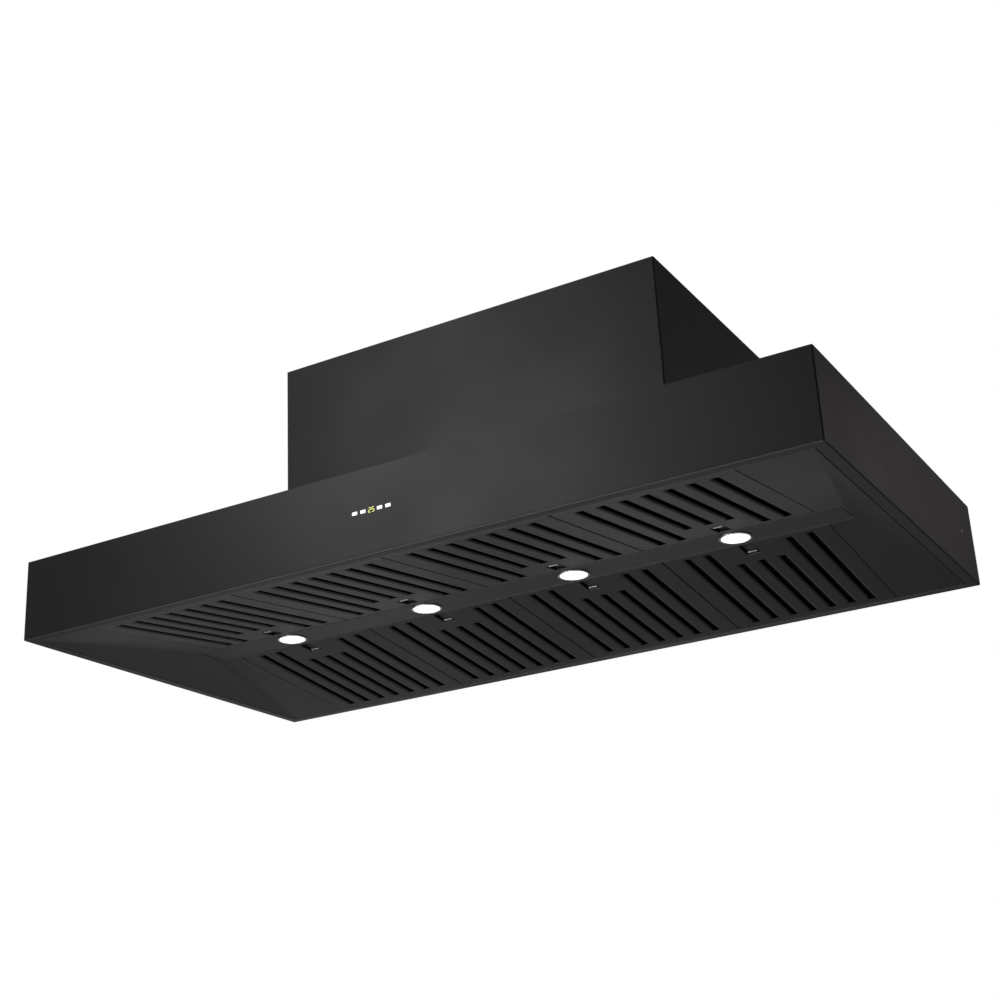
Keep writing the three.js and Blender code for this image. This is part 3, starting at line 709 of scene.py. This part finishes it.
def display_face(sizes):
    """The display's window in the front wall, in the middle of the control module."""
    low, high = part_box("control_module")
    middle = (low + high) / 2
    half = Vector((sizes.display_width / 2, 0, sizes.display_height / 2))
    return middle - half, middle + half


def make_canopy(sizes):
    low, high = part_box("canopy_shell")
    lip_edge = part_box("liner_end_right")[1].x
    lip = high.x - lip_edge - 0.3 * MM
    edge_band = 30 * MM
    lip_return = 14 * MM
    profile = [(0, high.z), (0, low.z + edge_band), *fold_up(0, low.z, sizes.fold)]
    radius = sizes.inner_fold
    profile += arc((lip - radius, low.z + radius), radius, 1.5 * math.pi, math.tau)
    profile.append((lip, low.z + lip_return))
    shell = ring_skin("canopy_casing", (0, 0), high.x, high.y, sizes.fold, profile)
    thicken(shell, sizes.sheet)
    before, behind = low.y - 2 * MM, low.y + 4 * MM
    button_gap = 0.35 * MM
    windows = [(*button_face(index), 0.9 * MM) for index in BUTTONS]
    cut(shell, window_cutter("button_holes", windows, before, behind, button_gap))
    windows = [(*display_face(sizes), 1.0 * MM)]
    cut(shell, window_cutter("display_hole", windows, before, behind, 0))
    finish(shell, FINISH["coat"], "hood", "powder_coat", "canopy_shell")


def make_top_plate():
    plate = cad_copy("canopy_top_plate", "canopy_top")
    ease(plate, 0.4 * MM)
    finish(plate, FINISH["coat"], "hood", "powder_coat", "canopy_top_plate")


def slope_profile(run, rise, sizes, edge_height, seat_height):
    """The liner from its edge upstand, down round the fold, up the slope and up at the bar."""
    angle = math.atan2(rise, run)
    radius = sizes.inner_fold
    lead = radius * math.tan((QUARTER + angle) / 2)
    points = [(0, edge_height)]
    points += arc((radius, lead), radius, math.pi, 1.5 * math.pi + angle)
    seat = 1.0 * MM
    back = seat * math.tan((QUARTER - angle) / 2)
    start = (run - back * math.cos(angle), rise - back * math.sin(angle))
    centre = (start[0] - seat * math.sin(angle), start[1] + seat * math.cos(angle))
    points += arc(centre, seat, angle - QUARTER, 0)
    points.append((run, seat_height))
    return points


def bank_opening(bank):
    """The box that a bank of filters fills, from its hinge line to the light bar."""
    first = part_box(f"{bank}_filter_1_frame")
    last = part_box(f"{bank}_filter_{len(FILTERS)}_frame")
    gap = 0.5 * MM
    hinge = JOINTS[f"{bank}_filter_1_tilt"]["pos_m"][1]
    if bank == "front":
        y_low, y_high = hinge - gap, first[1].y + gap
    else:
        y_low, y_high = first[0].y - gap, hinge + gap
    low = (first[0].x - gap, y_low, -5 * MM)
    return low, (last[1].x + gap, y_high, first[1].z + 20 * MM)


def make_liner(sizes):
    bar_low, bar_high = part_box("light_bar")
    seam = 0.4 * MM
    bar_gap = 0.3 * MM
    upstand = 14 * MM
    high = Vector((
        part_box("liner_end_right")[1].x - seam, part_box("liner_rear")[1].y - seam, bar_high.z))
    seat_x = bar_high.x + bar_gap
    seat_y = bar_high.y + bar_gap
    rise = bar_low.z
    along = slope_profile(high.x - seat_x, rise, sizes, upstand, high.z)
    across = slope_profile(high.y - seat_y, rise, sizes, upstand, high.z)
    bm = bmesh.new()
    loops = []
    for (inset_x, z_x), (inset_y, z_y) in zip(along, across):
        half_x = high.x - inset_x
        half_y = high.y - inset_y
        z = (z_x + z_y) / 2
        loops.append([(sx * half_x, sy * half_y, z)
                      for sx, sy in ((1, 1), (-1, 1), (-1, -1), (1, -1))])
    loft(bm, loops)
    liner = piece_from(tidy(bm), "liner_tray")
    thicken(liner, sizes.sheet)
    cut(liner, blocks("bank_openings", [bank_opening(bank) for bank in BANKS]))
    ease(liner, 0.35 * MM, angle=50)
    finish(liner, FINISH["coat"], "hood", "powder_coat", *LINER)


def lamp_centres():
    places = []
    for index in LAMPS:
        low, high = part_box(f"lamp_housing_{index}")
        places.append(Vector(((low.x + high.x) / 2, (low.y + high.y) / 2, low.z)))
    return places


def make_light_bar(sizes):
    low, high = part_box("light_bar")
    radius = sizes.inner_fold
    profile = [(0, high.z), *fold_up(0, low.z, radius)]
    bar = ring_skin("light_bar_channel", (0, 0), high.x, high.y, 0.8 * MM, profile, cap=True)
    thicken(bar, sizes.sheet)
    lamp_low, lamp_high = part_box("lamp_housing_1")
    rim_cover = 1.7 * MM
    hole = (lamp_high.x - lamp_low.x) / 2 - rim_cover
    below, above = -5 * MM, 9 * MM
    for centre in lamp_centres():
        drill = turned("lamp_hole", [(0, below), (hole, below), (hole, above), (0, above)],
                       (centre.x, centre.y, low.z), closed=False)
        cut(bar, drill)
    finish(bar, FINISH["coat"], "hood", "powder_coat", "light_bar")


def make_chimney(sizes):
    low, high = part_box("chimney_cover")
    middle = (low + high) / 2
    cover = ring_skin(
        "chimney_casing", middle, high.x - middle.x, high.y - middle.y, sizes.fold,
        [(0, high.z), (0, low.z)])
    thicken(cover, sizes.sheet)
    ease(cover, 0.4 * MM, angle=50)
    finish(cover, FINISH["coat"], "hood", "powder_coat", "chimney_cover")


# ---- Filters ------------------------------------------------------------------------------


def filter_place(bank, index):
    """A filter's own frame: X across it, Y from its hinge line up to the light bar, Z its top."""
    hinge = JOINTS[f"{bank}_filter_{index}_tilt"]["pos_m"]
    slide = JOINTS[f"{bank}_latch_{index}_slide"]["axis"]
    slope = math.atan2(-slide[2], abs(slide[1]))
    turn = 0 if bank == "front" else math.pi
    return (Matrix.Translation(hinge) @ Matrix.Rotation(turn, 4, "Z")
            @ Matrix.Rotation(slope, 4, "X"))


def own_box(node, place):
    """A CAD node's box in a filter's own frame."""
    back = place.inverted()
    points = [back @ vertex.co for vertex in frame["nodes"][node].data.vertices]
    return (Vector([min(p[axis] for p in points) for axis in range(3)]),
            Vector([max(p[axis] for p in points) for axis in range(3)]))


def flat_face(bm, outer, holes):
    """Fills the outline with triangles and leaves the holes open."""
    edges = []
    for loop in (outer, *holes):
        verts = [bm.verts.new((x, y, 0)) for x, y in loop]
        edges += [bm.edges.new((a, b)) for a, b in zip(verts, verts[1:] + verts[:1])]
    bmesh.ops.triangle_fill(bm, use_beauty=True, edges=edges, normal=(0, 0, -1))


def slot_plan(sizes, width, length):
    """Each slot's middle, start and end; the middle three stop short of the latch."""
    side_margins = 80 * MM
    start = 14 * MM
    latch_room = 73 * MM
    far_margin = 11.5 * MM
    pitch = (width - side_margins) / (sizes.slots - 1)
    plan = []
    for step in range(sizes.slots):
        offset = step - (sizes.slots - 1) / 2
        end = length - (latch_room if abs(offset) <= 1 else far_margin)
        plan.append((offset * pitch, start, end))
    return plan


def pressed_filter(sizes, box):
    """The filter's pressed face in its own frame: rolled slot edges, a latch dish, side walls."""
    half = box[1].x - 0.4 * MM
    length = box[1].y
    fold = 1.3 * MM
    corner = 2 * MM
    middle = length / 2
    outline = [(x, y + middle) for x, y in rectangle_loop(half - fold, middle - fold, corner, 3)]
    curl = sizes.slot_curl
    plan = slot_plan(sizes, 2 * half, length)
    reach = sizes.slot_gap / 2 + curl * math.sin(sizes.slot_turn)
    holes = [[(x - reach, start), (x + reach, start), (x + reach, end), (x - reach, end)]
             for x, start, end in plan]
    dish_fold = 1.2 * MM
    dish_half = (12 * MM, 19.4 * MM)
    dish_corner = 3 * MM
    dish_depth = 4.2 * MM
    dish_y = length - 24 * MM
    dish = [[(x, y + dish_y) for x, y in rectangle_loop(
        dish_half[0] + dish_fold - drop, dish_half[1] + dish_fold - drop, dish_corner - drop, 4)]
        for drop in (0, dish_fold * 0.3, dish_fold * 0.7, dish_fold)]
    bm = bmesh.new()
    flat_face(bm, outline, [*holes, dish[0]])
    for x, start, end in plan:
        for side in (-1, 1):
            roll = arc((reach, curl), curl, -QUARTER, -QUARTER - sizes.slot_turn, 6)
            rows = [[(x + side * u, start, w), (x + side * u, end, w)] for u, w in roll]
            loft(bm, rows, closed=False)
    heights = (0, dish_fold * 0.05, dish_fold * 0.4, dish_fold, dish_depth)
    dish.append(dish[-1])
    loft(bm, [[(x, y, height) for x, y in loop] for loop, height in zip(dish, heights)])
    walls = []
    for u, w in arc((-fold, fold), fold, -QUARTER, 0, 4) + [(0, box[1].z)]:
        walls.append([(x, y + middle, w) for x, y in rectangle_loop(
            half + u, middle + u, corner + fold + u, 3)])
    loft(bm, walls)
    tidy(bm)
    bmesh.ops.recalc_face_normals(bm, faces=bm.faces)
    bm.normal_update()
    lowest = min(bm.faces, key=lambda face: face.calc_center_median().z)
    if lowest.normal.z > 0:
        bmesh.ops.reverse_faces(bm, faces=bm.faces)
    return thicken(piece_from(bm, "pressed_filter"), sizes.filter_sheet)


def hook_boxes(half):
    """The two hooks that lie on the liner's edge."""
    inset = 50 * MM
    hook_half = 10 * MM
    return [((side * (half - inset) - hook_half, -5 * MM, 1.9 * MM),
             (side * (half - inset) + hook_half, 2 * MM, 3.1 * MM)) for side in (-1, 1)]


def merged(name, *parts):
    """One mesh of several, which are used up."""
    bm = bmesh.new()
    for part in parts:
        bm.from_mesh(part.data)
        bpy.data.objects.remove(part)
    return piece_from(bm, name)


def placed_copy(pattern, name, place):
    mesh = pattern.data.copy()
    mesh.transform(place)
    piece = bpy.data.objects.new(name, mesh)
    bpy.context.scene.collection.objects.link(piece)
    return piece


def baffle_pack(sizes, box, latch_box):
    """The channels over the slots, the rails across them, and covers that keep daylight out."""
    plan = slot_plan(sizes, 2 * box[1].x, box[1].y)
    pitch = plan[1][0] - plan[0][0]
    start = 3 * MM
    inner = box[1].y - 4 * MM
    short = plan[len(plan) // 2][2] + 9 * MM
    roof = box[1].z - 0.5 * MM
    sheet = 0.7 * MM
    # Painted shade: the channels are near black, standing in for the shade over the slots.
    channel = {"Pitch": pitch, "Width": 25 * MM, "Leg": 3.6 * MM, "Sheet": sheet,
               "Material": FINISH["inside"]}
    tree = channel_tree()
    long_side = len(plan) // 2 - 1
    rows = []
    for label, count, shift, end in (
            ("left", long_side, -1, inner), ("middle", 3, 0, short), ("right", long_side, 1, inner)):
        row = grow(f"{label}_channels", tree, {**channel, "Count": count, "Length": end - start})
        row.data.transform(Matrix.Translation((
            shift * pitch * (1.5 + long_side / 2), (end + start) / 2, roof)))
        rows.append(row)
    rail = 7 * MM
    reach = box[1].x - 2 * MM
    rails = blocks("channel_rails", [
        ((-reach, y, roof - 1.6 * MM), (reach, y + rail, roof - 0.4 * MM))
        for y in (start, inner - rail)])
    face_top = 1.1 * MM
    end_half = 1.7 * pitch
    cover_half = 18 * MM
    cover_low = latch_box[1].z + 0.6 * MM
    cover_high = latch_box[1].z + 1.2 * MM
    covers = blocks("short_channel_end_and_latch_cover", [
        ((-end_half, short - sheet, face_top), (end_half, short, roof + 0.3 * MM)),
        ((-cover_half, short + 1.5 * MM, cover_low),
         (cover_half, box[1].y - 2.4 * MM, cover_high))])
    return merged("baffle_pattern", *rows, rails, covers)


def make_filters(sizes):
    place = filter_place("front", 1)
    box = own_box("front_filter_1_frame", place)
    latch_box = own_box("front_filter_1_latch", place)
    hooks = ease(blocks("filter_hooks", hook_boxes(box[1].x)), 0.4 * MM)
    face = merged("filter_pattern", pressed_filter(sizes, box), hooks)
    pack = baffle_pack(sizes, box, latch_box)
    slider, tab = latch_patterns(latch_box)
    for bank in BANKS:
        for index in FILTERS:
            place = filter_place(bank, index)
            body = f"{bank}_filter_{index}"
            finish(placed_copy(face, f"{body}_pressing", place), FINISH["filter"], body,
                   "filter_coat", f"{body}_frame", angle=28)
            # Painted shade: the channels, rails and covers all take the near-black finish for the
            # slots' shade.
            finish(placed_copy(pack, f"{body}_channels", place), FINISH["inside"], body,
                   "filter_coat", f"{body}_baffles")
            latch = f"{bank}_latch_{index}"
            finish(placed_copy(slider, f"{latch}_slider", place), FINISH["filter"], latch,
                   "filter_coat")
            finish(placed_copy(tab, f"{latch}_tab", place), FINISH["latch"], latch,
                   "latch_steel", f"{body}_latch")
    for pattern in (face, pack, slider, tab):
        bpy.data.objects.remove(pattern)


def latch_patterns(box):
    """The latch in a filter's own frame: a dark slider, and a steel tab for the finger."""
    plate_low = box[1].z - 1.5 * MM
    slider = blocks("latch_slider", [
        ((box[0].x, box[0].y, plate_low), (box[1].x, box[1].y, box[1].z))])
    ease(slider, 0.35 * MM)
    tab_end = box[1].y + 0.2 * MM - 35 * MM
    tab_half = 9 * MM
    tab_depth = 5 * MM
    tab = blocks("latch_tab", [
        ((-tab_half, tab_end - tab_depth, box[0].z), (tab_half, tab_end, plate_low + 0.2 * MM))])
    ease(tab, 1.1 * MM, 4)
    return slider, tab


# ---- Lamps --------------------------------------------------------------------------------


def make_lamps():
    for index, centre in zip(LAMPS, lamp_centres()):
        low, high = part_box(f"lamp_housing_{index}")
        lens_low, lens_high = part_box(f"lamp_lens_{index}")
        rim = (high.x - low.x) / 2
        lens = (lens_high.x - lens_low.x) / 2
        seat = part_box("light_bar")[0].z - 0.2 * MM - low.z
        can = rim - 2.2 * MM
        top = high.z - low.z
        inner = lens + 0.3 * MM
        wall = 1.5 * MM
        bevel = 2 * MM
        rim_radius = 1.1 * MM
        ledge = seat + 3.4 * MM
        profile = [(inner, 1.2 * MM), *arc(
            (lens + 1.0 * MM, 0.7 * MM), 0.7 * MM, math.pi, 1.5 * math.pi, 3)]
        profile += arc((rim - rim_radius, rim_radius), rim_radius, -QUARTER, 0, 5)
        profile += [(rim, seat), (can, seat), (can, top - bevel), (can - bevel, top),
                    (0, top), (0, top - wall), (can - bevel, top - wall),
                    (can - wall, ledge), (inner, ledge)]
        bezel = turned(f"lamp_{index}_bezel", profile, centre, steps=72)
        finish(bezel, FINISH["bezel"], "hood", "bezel_steel", f"lamp_housing_{index}", angle=40)
        dome = 0.5 * MM
        opal_depth = 2.6 * MM
        face = lens_low.z - low.z
        bulge = [(lens * share, face - dome * (1 - share * share))
                 for share in (0, 0.25, 0.5, 0.7, 0.85, 0.95, 1)]
        back = [(lens, face + opal_depth), (0, face + opal_depth)]
        opal = turned(f"lamp_{index}_opal", bulge + back, centre, steps=64, closed=False)
        finish(opal, FINISH["lamp"], "hood", "opal_lens", f"lamp_lens_{index}")


# ---- Controls -----------------------------------------------------------------------------

SEGMENTS = {
    "2": "top upper_right middle lower_left bottom",
    "5": "top upper_left middle lower_right bottom",
}


def segment_bars(width, height):
    """Each segment's middle and half length, and whether it stands upright."""
    half = width / 2
    quarter = height / 4
    return {
        "top": ((0, 2 * quarter), half, False), "middle": ((0, 0), half, False),
        "bottom": ((0, -2 * quarter), half, False),
        "upper_left": ((-half, quarter), quarter, True),
        "upper_right": ((half, quarter), quarter, True),
        "lower_left": ((-half, -quarter), quarter, True),
        "lower_right": ((half, -quarter), quarter, True),
    }


def segment_outline(middle, half, upright, thick):
    """A bar with pointed ends, anticlockwise, a little short of its neighbours."""
    gap = 0.12 * MM
    half -= gap
    points = [(half, 0), (half - thick, thick), (-half + thick, thick),
              (-half, 0), (-half + thick, -thick), (half - thick, -thick)]
    if upright:
        points = [(-y, x) for x, y in points]
    return [(middle[0] + x, middle[1] + y) for x, y in points]


def make_display(sizes):
    low, high = display_face(sizes)
    middle = (low + high) / 2
    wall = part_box("canopy_shell")[0].y
    sunk = 0.5 * MM
    gap = 0.1 * MM
    upright = Matrix.Rotation(QUARTER, 4, "X")
    face = Matrix.Translation((middle.x, wall + sunk, middle.z)) @ upright
    half_x = (high.x - low.x) / 2 - gap
    half_z = (high.z - low.z) / 2 - gap
    bm = bmesh.new()
    upright_plate(bm, rectangle_loop(half_x, half_z, 0.9 * MM, 4), face, 1.6 * MM)
    bmesh.ops.recalc_face_normals(bm, faces=bm.faces)
    window = piece_from(bm, "display_glass")
    finish(window, FINISH["window"], "hood", "display_window")
    bm = bmesh.new()
    proud = 0.12 * MM
    spacing = 3.3 * MM
    stroke = 0.5 * MM
    front = Matrix.Translation((0, -proud, 0)) @ face
    bars = segment_bars(4.3 * MM, 7.9 * MM)
    for digit, x in (("2", -spacing), ("5", spacing)):
        for label in SEGMENTS[digit].split():
            spot, half, stands = bars[label]
            outline = segment_outline((spot[0] + x, spot[1]), half, stands, stroke)
            upright_plate(bm, outline, front, 0.3 * MM)
    bmesh.ops.recalc_face_normals(bm, faces=bm.faces)
    digits = piece_from(bm, "display_digits")
    finish(digits, FINISH["digit"], "hood", "display_window")


def make_buttons():
    """Lit caps with eased edges and a shallow crown, and a plain body that runs back behind them."""
    for index in BUTTONS:
        low, high = button_face(index)
        middle = (low + high) / 2
        half = ((high.x - low.x) / 2, (high.z - low.z) / 2)
        place = Matrix.Translation((middle.x, low.y, middle.z)) @ Matrix.Rotation(QUARTER, 4, "X")
        bm = bmesh.new()
        corner, least = 0.8 * MM, 0.1 * MM
        steps = [(1.6 * MM, 0.02 * MM), (0.9 * MM, 0), (0.35 * MM, -0.1 * MM),
                 (0.1 * MM, -0.35 * MM), (0, -0.8 * MM), (0, -4.2 * MM)]
        loops = [[place @ Vector((x, y, depth)) for x, y in rectangle_loop(
            half[0] - inset, half[1] - inset, max(corner - inset, least), 5)]
            for inset, depth in steps]
        rows = loft(bm, loops)
        bm.faces.new(rows[0])
        bm.faces.new(list(reversed(rows[-1])))
        tidy(bm)
        bmesh.ops.recalc_face_normals(bm, faces=bm.faces)
        cap = piece_from(bm, f"button_{index}_cap")
        finish(cap, FINISH["button"], f"button_{index}", "lit_plastic", f"button_{index}")


# ---- Inside the chimney -------------------------------------------------------------------


def softened(node, name, finish_name, slot, width=0.4, segments=2, angle=40, body="hood"):
    """A CAD node with its edges eased."""
    piece = ease(cad_copy(node, name), width * MM, segments, angle)
    finish(piece, FINISH[finish_name], body, slot, node)
    return piece


def middle_of(node):
    low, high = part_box(node)
    return (low + high) / 2


def make_collars():
    for side in SIDES:
        low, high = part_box(f"duct_collar_{side}")
        centre = middle_of(f"duct_collar_{side}")
        flange = (high.x - low.x) / 2
        flange_width = 14 * MM
        outer = flange - flange_width
        wall = 1.2 * MM
        bead, bead_at = 1.4 * MM, 0.42
        height = high.z - low.z
        profile = [(outer - wall, 0), (flange - 0.6 * MM, 0), (flange, 0.6 * MM), (flange, wall),
                   (outer + 1.2 * MM, wall), (outer, wall + 1.2 * MM), (outer, height * bead_at)]
        profile += [(outer + bead * math.sin(math.pi * step / 6),
                     height * (bead_at + 0.012 * step)) for step in range(7)]
        profile += [(outer, height - 0.5 * MM), (outer - 0.5 * MM, height), (outer - wall, height)]
        collar = turned(f"collar_{side}", profile, (centre.x, centre.y, low.z), steps=96)
        finish(collar, FINISH["plastic"], "hood", "black_plastic", f"duct_collar_{side}")
        for end in ("front", "rear"):
            node = f"damper_flap_{side}_{end}"
            softened(node, f"{node}_plate", "plastic", "black_plastic", 0.25,
                     body=f"flap_{side}_{end}")


def make_blowers(sizes):
    cage = wheel_tree()
    fins = fin_tree()
    count, pitch, margin = 8, 5.5, 12 * MM      # the motor's fins, their pitch in millimetres
    for side in SIDES:
        softened(f"blower_housing_{side}", f"scroll_{side}", "zinc", "galvanised", 0.3)
        spin = JOINTS[f"wheel_{side}_spin"]["pos_m"]
        low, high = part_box(f"blower_wheel_{side}")
        upright = Matrix.Translation(spin) @ Matrix.Rotation(QUARTER, 4, "Y")
        wheel = grow(f"wheel_{side}_cage", cage, {
            "Blades": sizes.blades, "Radius": (high.z - low.z) / 2, "Blade Depth": 15 * MM,
            "Width": high.x - low.x - 4 * MM, "Sheet": 0.8 * MM, "Curve": 9 * MM,
            "Hub": 9 * MM, "Material": FINISH["zinc"]})
        wheel.data.transform(upright)
        finish(wheel, FINISH["zinc"], f"wheel_{side}", "galvanised", f"blower_wheel_{side}")
        softened(f"blower_motor_{side}", f"motor_{side}_case", "cast", "motor_aluminium", 0.5)
        low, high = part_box(f"blower_motor_{side}")
        rings = grow(f"motor_{side}_fins", fins, {
            "Count": count, "Radius": 40 * MM, "Depth": 3 * MM, "Sheet": 1.4 * MM,
            "Pitch": pitch * MM, "Material": FINISH["cast"]})
        if side == "left":
            inner = low.x + margin
        else:
            inner = high.x - margin - (count - 1) * pitch * MM
        rings.data.transform(
            Matrix.Translation((inner, spin[1], spin[2])) @ Matrix.Rotation(QUARTER, 4, "Y"))
        finish(rings, FINISH["cast"], "hood", "motor_aluminium")


def make_motor_box():
    softened("motor_box", "motor_box_sheet", "zinc", "galvanised", 0.5)
    softened("ceiling_frame", "ceiling_frame_angles", "zinc", "galvanised", 0.5)
    softened("wiring_box", "wiring_box_cover", "plastic", "black_plastic", 1.2, 3)
    softened("control_module", "control_tray", "plastic", "black_plastic", 0.6)


# ---- Fasteners ----------------------------------------------------------------------------


def screw_places():
    """Where the screws sit, and which way each one's head faces."""
    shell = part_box("canopy_shell")
    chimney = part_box("chimney_cover")
    places = []
    for side in (-1, 1):
        places.append(((side * shell[1].x, 0.8 * shell[1].y, 0.53 * shell[1].z), (side, 0, 0)))
        for row in range(4):
            z = chimney[0].z + (0.08 + 0.28 * row) * (chimney[1].z - chimney[0].z)
            places.append(((side * (chimney[1].x - 14 * MM), chimney[1].y, z), (0, 1, 0)))
    for side in SIDES:
        low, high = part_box(f"duct_collar_{side}")
        centre = middle_of(f"duct_collar_{side}")
        radius = (high.x - low.x) / 2 - 6 * MM
        for step in range(6):
            angle = math.tau * (step + 0.5) / 6
            spot = (centre.x + math.cos(angle) * radius, centre.y + math.sin(angle) * radius,
                    low.z + 1.2 * MM)
            places.append((spot, (0, 0, 1)))
    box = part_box("motor_box")
    for side in (-1, 1):
        for row in range(4):
            y = box[0].y + (0.06 + 0.293 * row) * (box[1].y - box[0].y)
            places.append(((side * (box[1].x - 6 * MM), y, box[0].z + 1.2 * MM), (0, 0, 1)))
    return places


def make_screws(sizes):
    places = screw_places()
    values = {"Diameter": sizes.screw, "Height": 1.6 * MM, "Material": FINISH["screw"]}
    heads = grow("pan_head_screws", screw_tree(), values,
                 [spot for spot, _ in places], [way for _, way in places])
    finish(heads, FINISH["screw"], "hood", "bezel_steel")


# ---- Stage --------------------------------------------------------------------------------


def area_light(name, place, target, size, power, colour):
    data = bpy.data.lights.new(name, "AREA")
    data.shape = "RECTANGLE"
    data.size, data.size_y = size
    data.energy = power
    data.color = colour
    lamp = bpy.data.objects.new(name, data)
    lamp.location = place
    lamp.rotation_euler = (Vector(target) - Vector(place)).to_track_quat("-Z", "Y").to_euler()
    lamp.visible_camera = False
    bpy.context.scene.collection.objects.link(lamp)
    return lamp


def make_lights(stage, floor):
    """Soft boxes that the camera doesn't see; most of them leave the floor unlit."""
    spared = bpy.data.collections.new("spared_by_some_lights")
    spared.objects.link(floor)
    spared.collection_objects[0].light_linking.link_state = "EXCLUDE"
    for name, (place, target, size, power, colour, on_floor) in SOFT_BOXES.items():
        lamp = area_light(f"{name}_soft_box", place, target, size, power * stage.light, colour)
        if not on_floor:
            lamp.light_linking.receiver_collection = spared


def make_world(strength):
    """An even pale room that shows white behind the hood."""
    world = bpy.data.worlds.new("pale_room")
    bpy.context.scene.world = world
    world.use_nodes = True
    tree = world.node_tree
    tree.nodes.clear()
    light = add(tree, "ShaderNodeBackground", {"Color": (1.0, 0.98, 0.94, 1), "Strength": strength})
    white = add(tree, "ShaderNodeBackground", {"Color": (1, 1, 1, 1), "Strength": 1.0})
    path = add(tree, "ShaderNodeLightPath")
    mix = add(tree, "ShaderNodeMixShader", {
        0: path.outputs["Is Camera Ray"], 1: light.outputs[0], 2: white.outputs[0]})
    target = tree.nodes.new("ShaderNodeOutputWorld")
    tree.links.new(mix.outputs[0], target.inputs["Surface"])


def make_camera(stage):
    """Stands below the hood, in front and to its right, and looks up at it."""
    data = bpy.data.cameras.new("camera")
    data.lens = stage.lens
    data.sensor_width = 36
    data.clip_start = 0.05
    camera = bpy.data.objects.new("camera", data)
    right = Vector((0.863046, 0.502737, -0.049062))
    up = Vector((0.222188, -0.290603, 0.930689))
    back = right.cross(up)
    turn = Matrix((right, up, back)).transposed().to_4x4()
    camera.matrix_world = Matrix.Translation((1.38334, -2.45953, -0.88236)) @ turn
    bpy.context.scene.collection.objects.link(camera)
    bpy.context.scene.camera = camera


def make_stage(stage):
    bm = bmesh.new()
    bmesh.ops.create_grid(bm, x_segments=1, y_segments=1, size=40)
    floor = piece_from(bm, "floor")
    floor.data.transform(Matrix.Translation((0, 0, -stage.floor_drop)))
    floor.data.materials.append(FINISH["floor"])
    make_lights(stage, floor)
    bpy.context.scene.view_settings.view_transform = "Standard"


# ---- Operators, panel and registration -----------------------------------------------------


class HOOD_OT_finishes(bpy.types.Operator):
    """Make the hood's materials"""
    bl_idname = "hood.finishes"
    bl_label = "Finishes"

    def execute(self, context):
        low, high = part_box("lamp_lens_1")
        centres = [tuple(centre) for centre in lamp_centres()]
        FINISH.update(make_finishes(context.scene.hood_colours, centres, (high.x - low.x) / 2))
        return {"FINISHED"}


class HOOD_OT_casing(bpy.types.Operator):
    """Fold the canopy, its top, the liner, the light bar and the chimney"""
    bl_idname = "hood.casing"
    bl_label = "Casing"

    def execute(self, context):
        sizes = context.scene.hood_sizes
        make_canopy(sizes)
        make_top_plate()
        make_liner(sizes)
        make_light_bar(sizes)
        make_chimney(sizes)
        return {"FINISHED"}


class HOOD_OT_filters(bpy.types.Operator):
    """Press the eight baffle filters, with their channels and latches"""
    bl_idname = "hood.filters"
    bl_label = "Filters and latches"

    def execute(self, context):
        make_filters(context.scene.hood_sizes)
        return {"FINISHED"}


class HOOD_OT_lamps(bpy.types.Operator):
    """Make the lamps' bezels and opal lenses"""
    bl_idname = "hood.lamps"
    bl_label = "Lamps"

    def execute(self, context):
        make_lamps()
        return {"FINISHED"}


class HOOD_OT_controls(bpy.types.Operator):
    """Make the lit buttons and the display"""
    bl_idname = "hood.controls"
    bl_label = "Controls"

    def execute(self, context):
        make_buttons()
        make_display(context.scene.hood_sizes)
        return {"FINISHED"}


class HOOD_OT_blowers(bpy.types.Operator):
    """Make the blowers, their motor box, the duct collars and the ceiling frame"""
    bl_idname = "hood.blowers"
    bl_label = "Blowers and frame"

    def execute(self, context):
        make_motor_box()
        make_blowers(context.scene.hood_sizes)
        make_collars()
        return {"FINISHED"}


class HOOD_OT_screws(bpy.types.Operator):
    """Set the screws"""
    bl_idname = "hood.screws"
    bl_label = "Screws"

    def execute(self, context):
        make_screws(context.scene.hood_sizes)
        return {"FINISHED"}


class HOOD_OT_stage(bpy.types.Operator):
    """Set up the floor, the light and the camera"""
    bl_idname = "hood.stage"
    bl_label = "Stage"

    def execute(self, context):
        stage = context.scene.hood_stage
        make_world(stage.sky)
        make_stage(stage)
        make_camera(stage)
        return {"FINISHED"}


OPERATORS = (
    HOOD_OT_finishes, HOOD_OT_casing, HOOD_OT_filters, HOOD_OT_lamps, HOOD_OT_controls,
    HOOD_OT_blowers, HOOD_OT_screws, HOOD_OT_stage,
)


class HOOD_PT_panel(bpy.types.Panel):
    bl_label = "Range hood"
    bl_idname = "HOOD_PT_panel"
    bl_space_type = "VIEW_3D"
    bl_region_type = "UI"
    bl_category = "Hood"

    def draw(self, context):
        for operator in OPERATORS:
            self.layout.operator(operator.bl_idname)


GROUPS = {"hood_colours": HoodColours, "hood_sizes": HoodSizes, "hood_stage": HoodStage}


def register():
    for group in GROUPS.values():
        bpy.utils.register_class(group)
    for name, group in GROUPS.items():
        setattr(bpy.types.Scene, name, PointerProperty(type=group))
    for operator in OPERATORS:
        bpy.utils.register_class(operator)
    bpy.utils.register_class(HOOD_PT_panel)


def unregister():
    bpy.utils.unregister_class(HOOD_PT_panel)
    for operator in reversed(OPERATORS):
        bpy.utils.unregister_class(operator)
    for name, group in GROUPS.items():
        delattr(bpy.types.Scene, name)
        bpy.utils.unregister_class(group)


def main():
    register()
    bpy.ops.hood.finishes()
    bpy.ops.hood.casing()
    bpy.ops.hood.filters()
    bpy.ops.hood.lamps()
    bpy.ops.hood.controls()
    bpy.ops.hood.blowers()
    bpy.ops.hood.screws()
    bpy.ops.hood.stage()


if __name__ == "__main__":
    main()
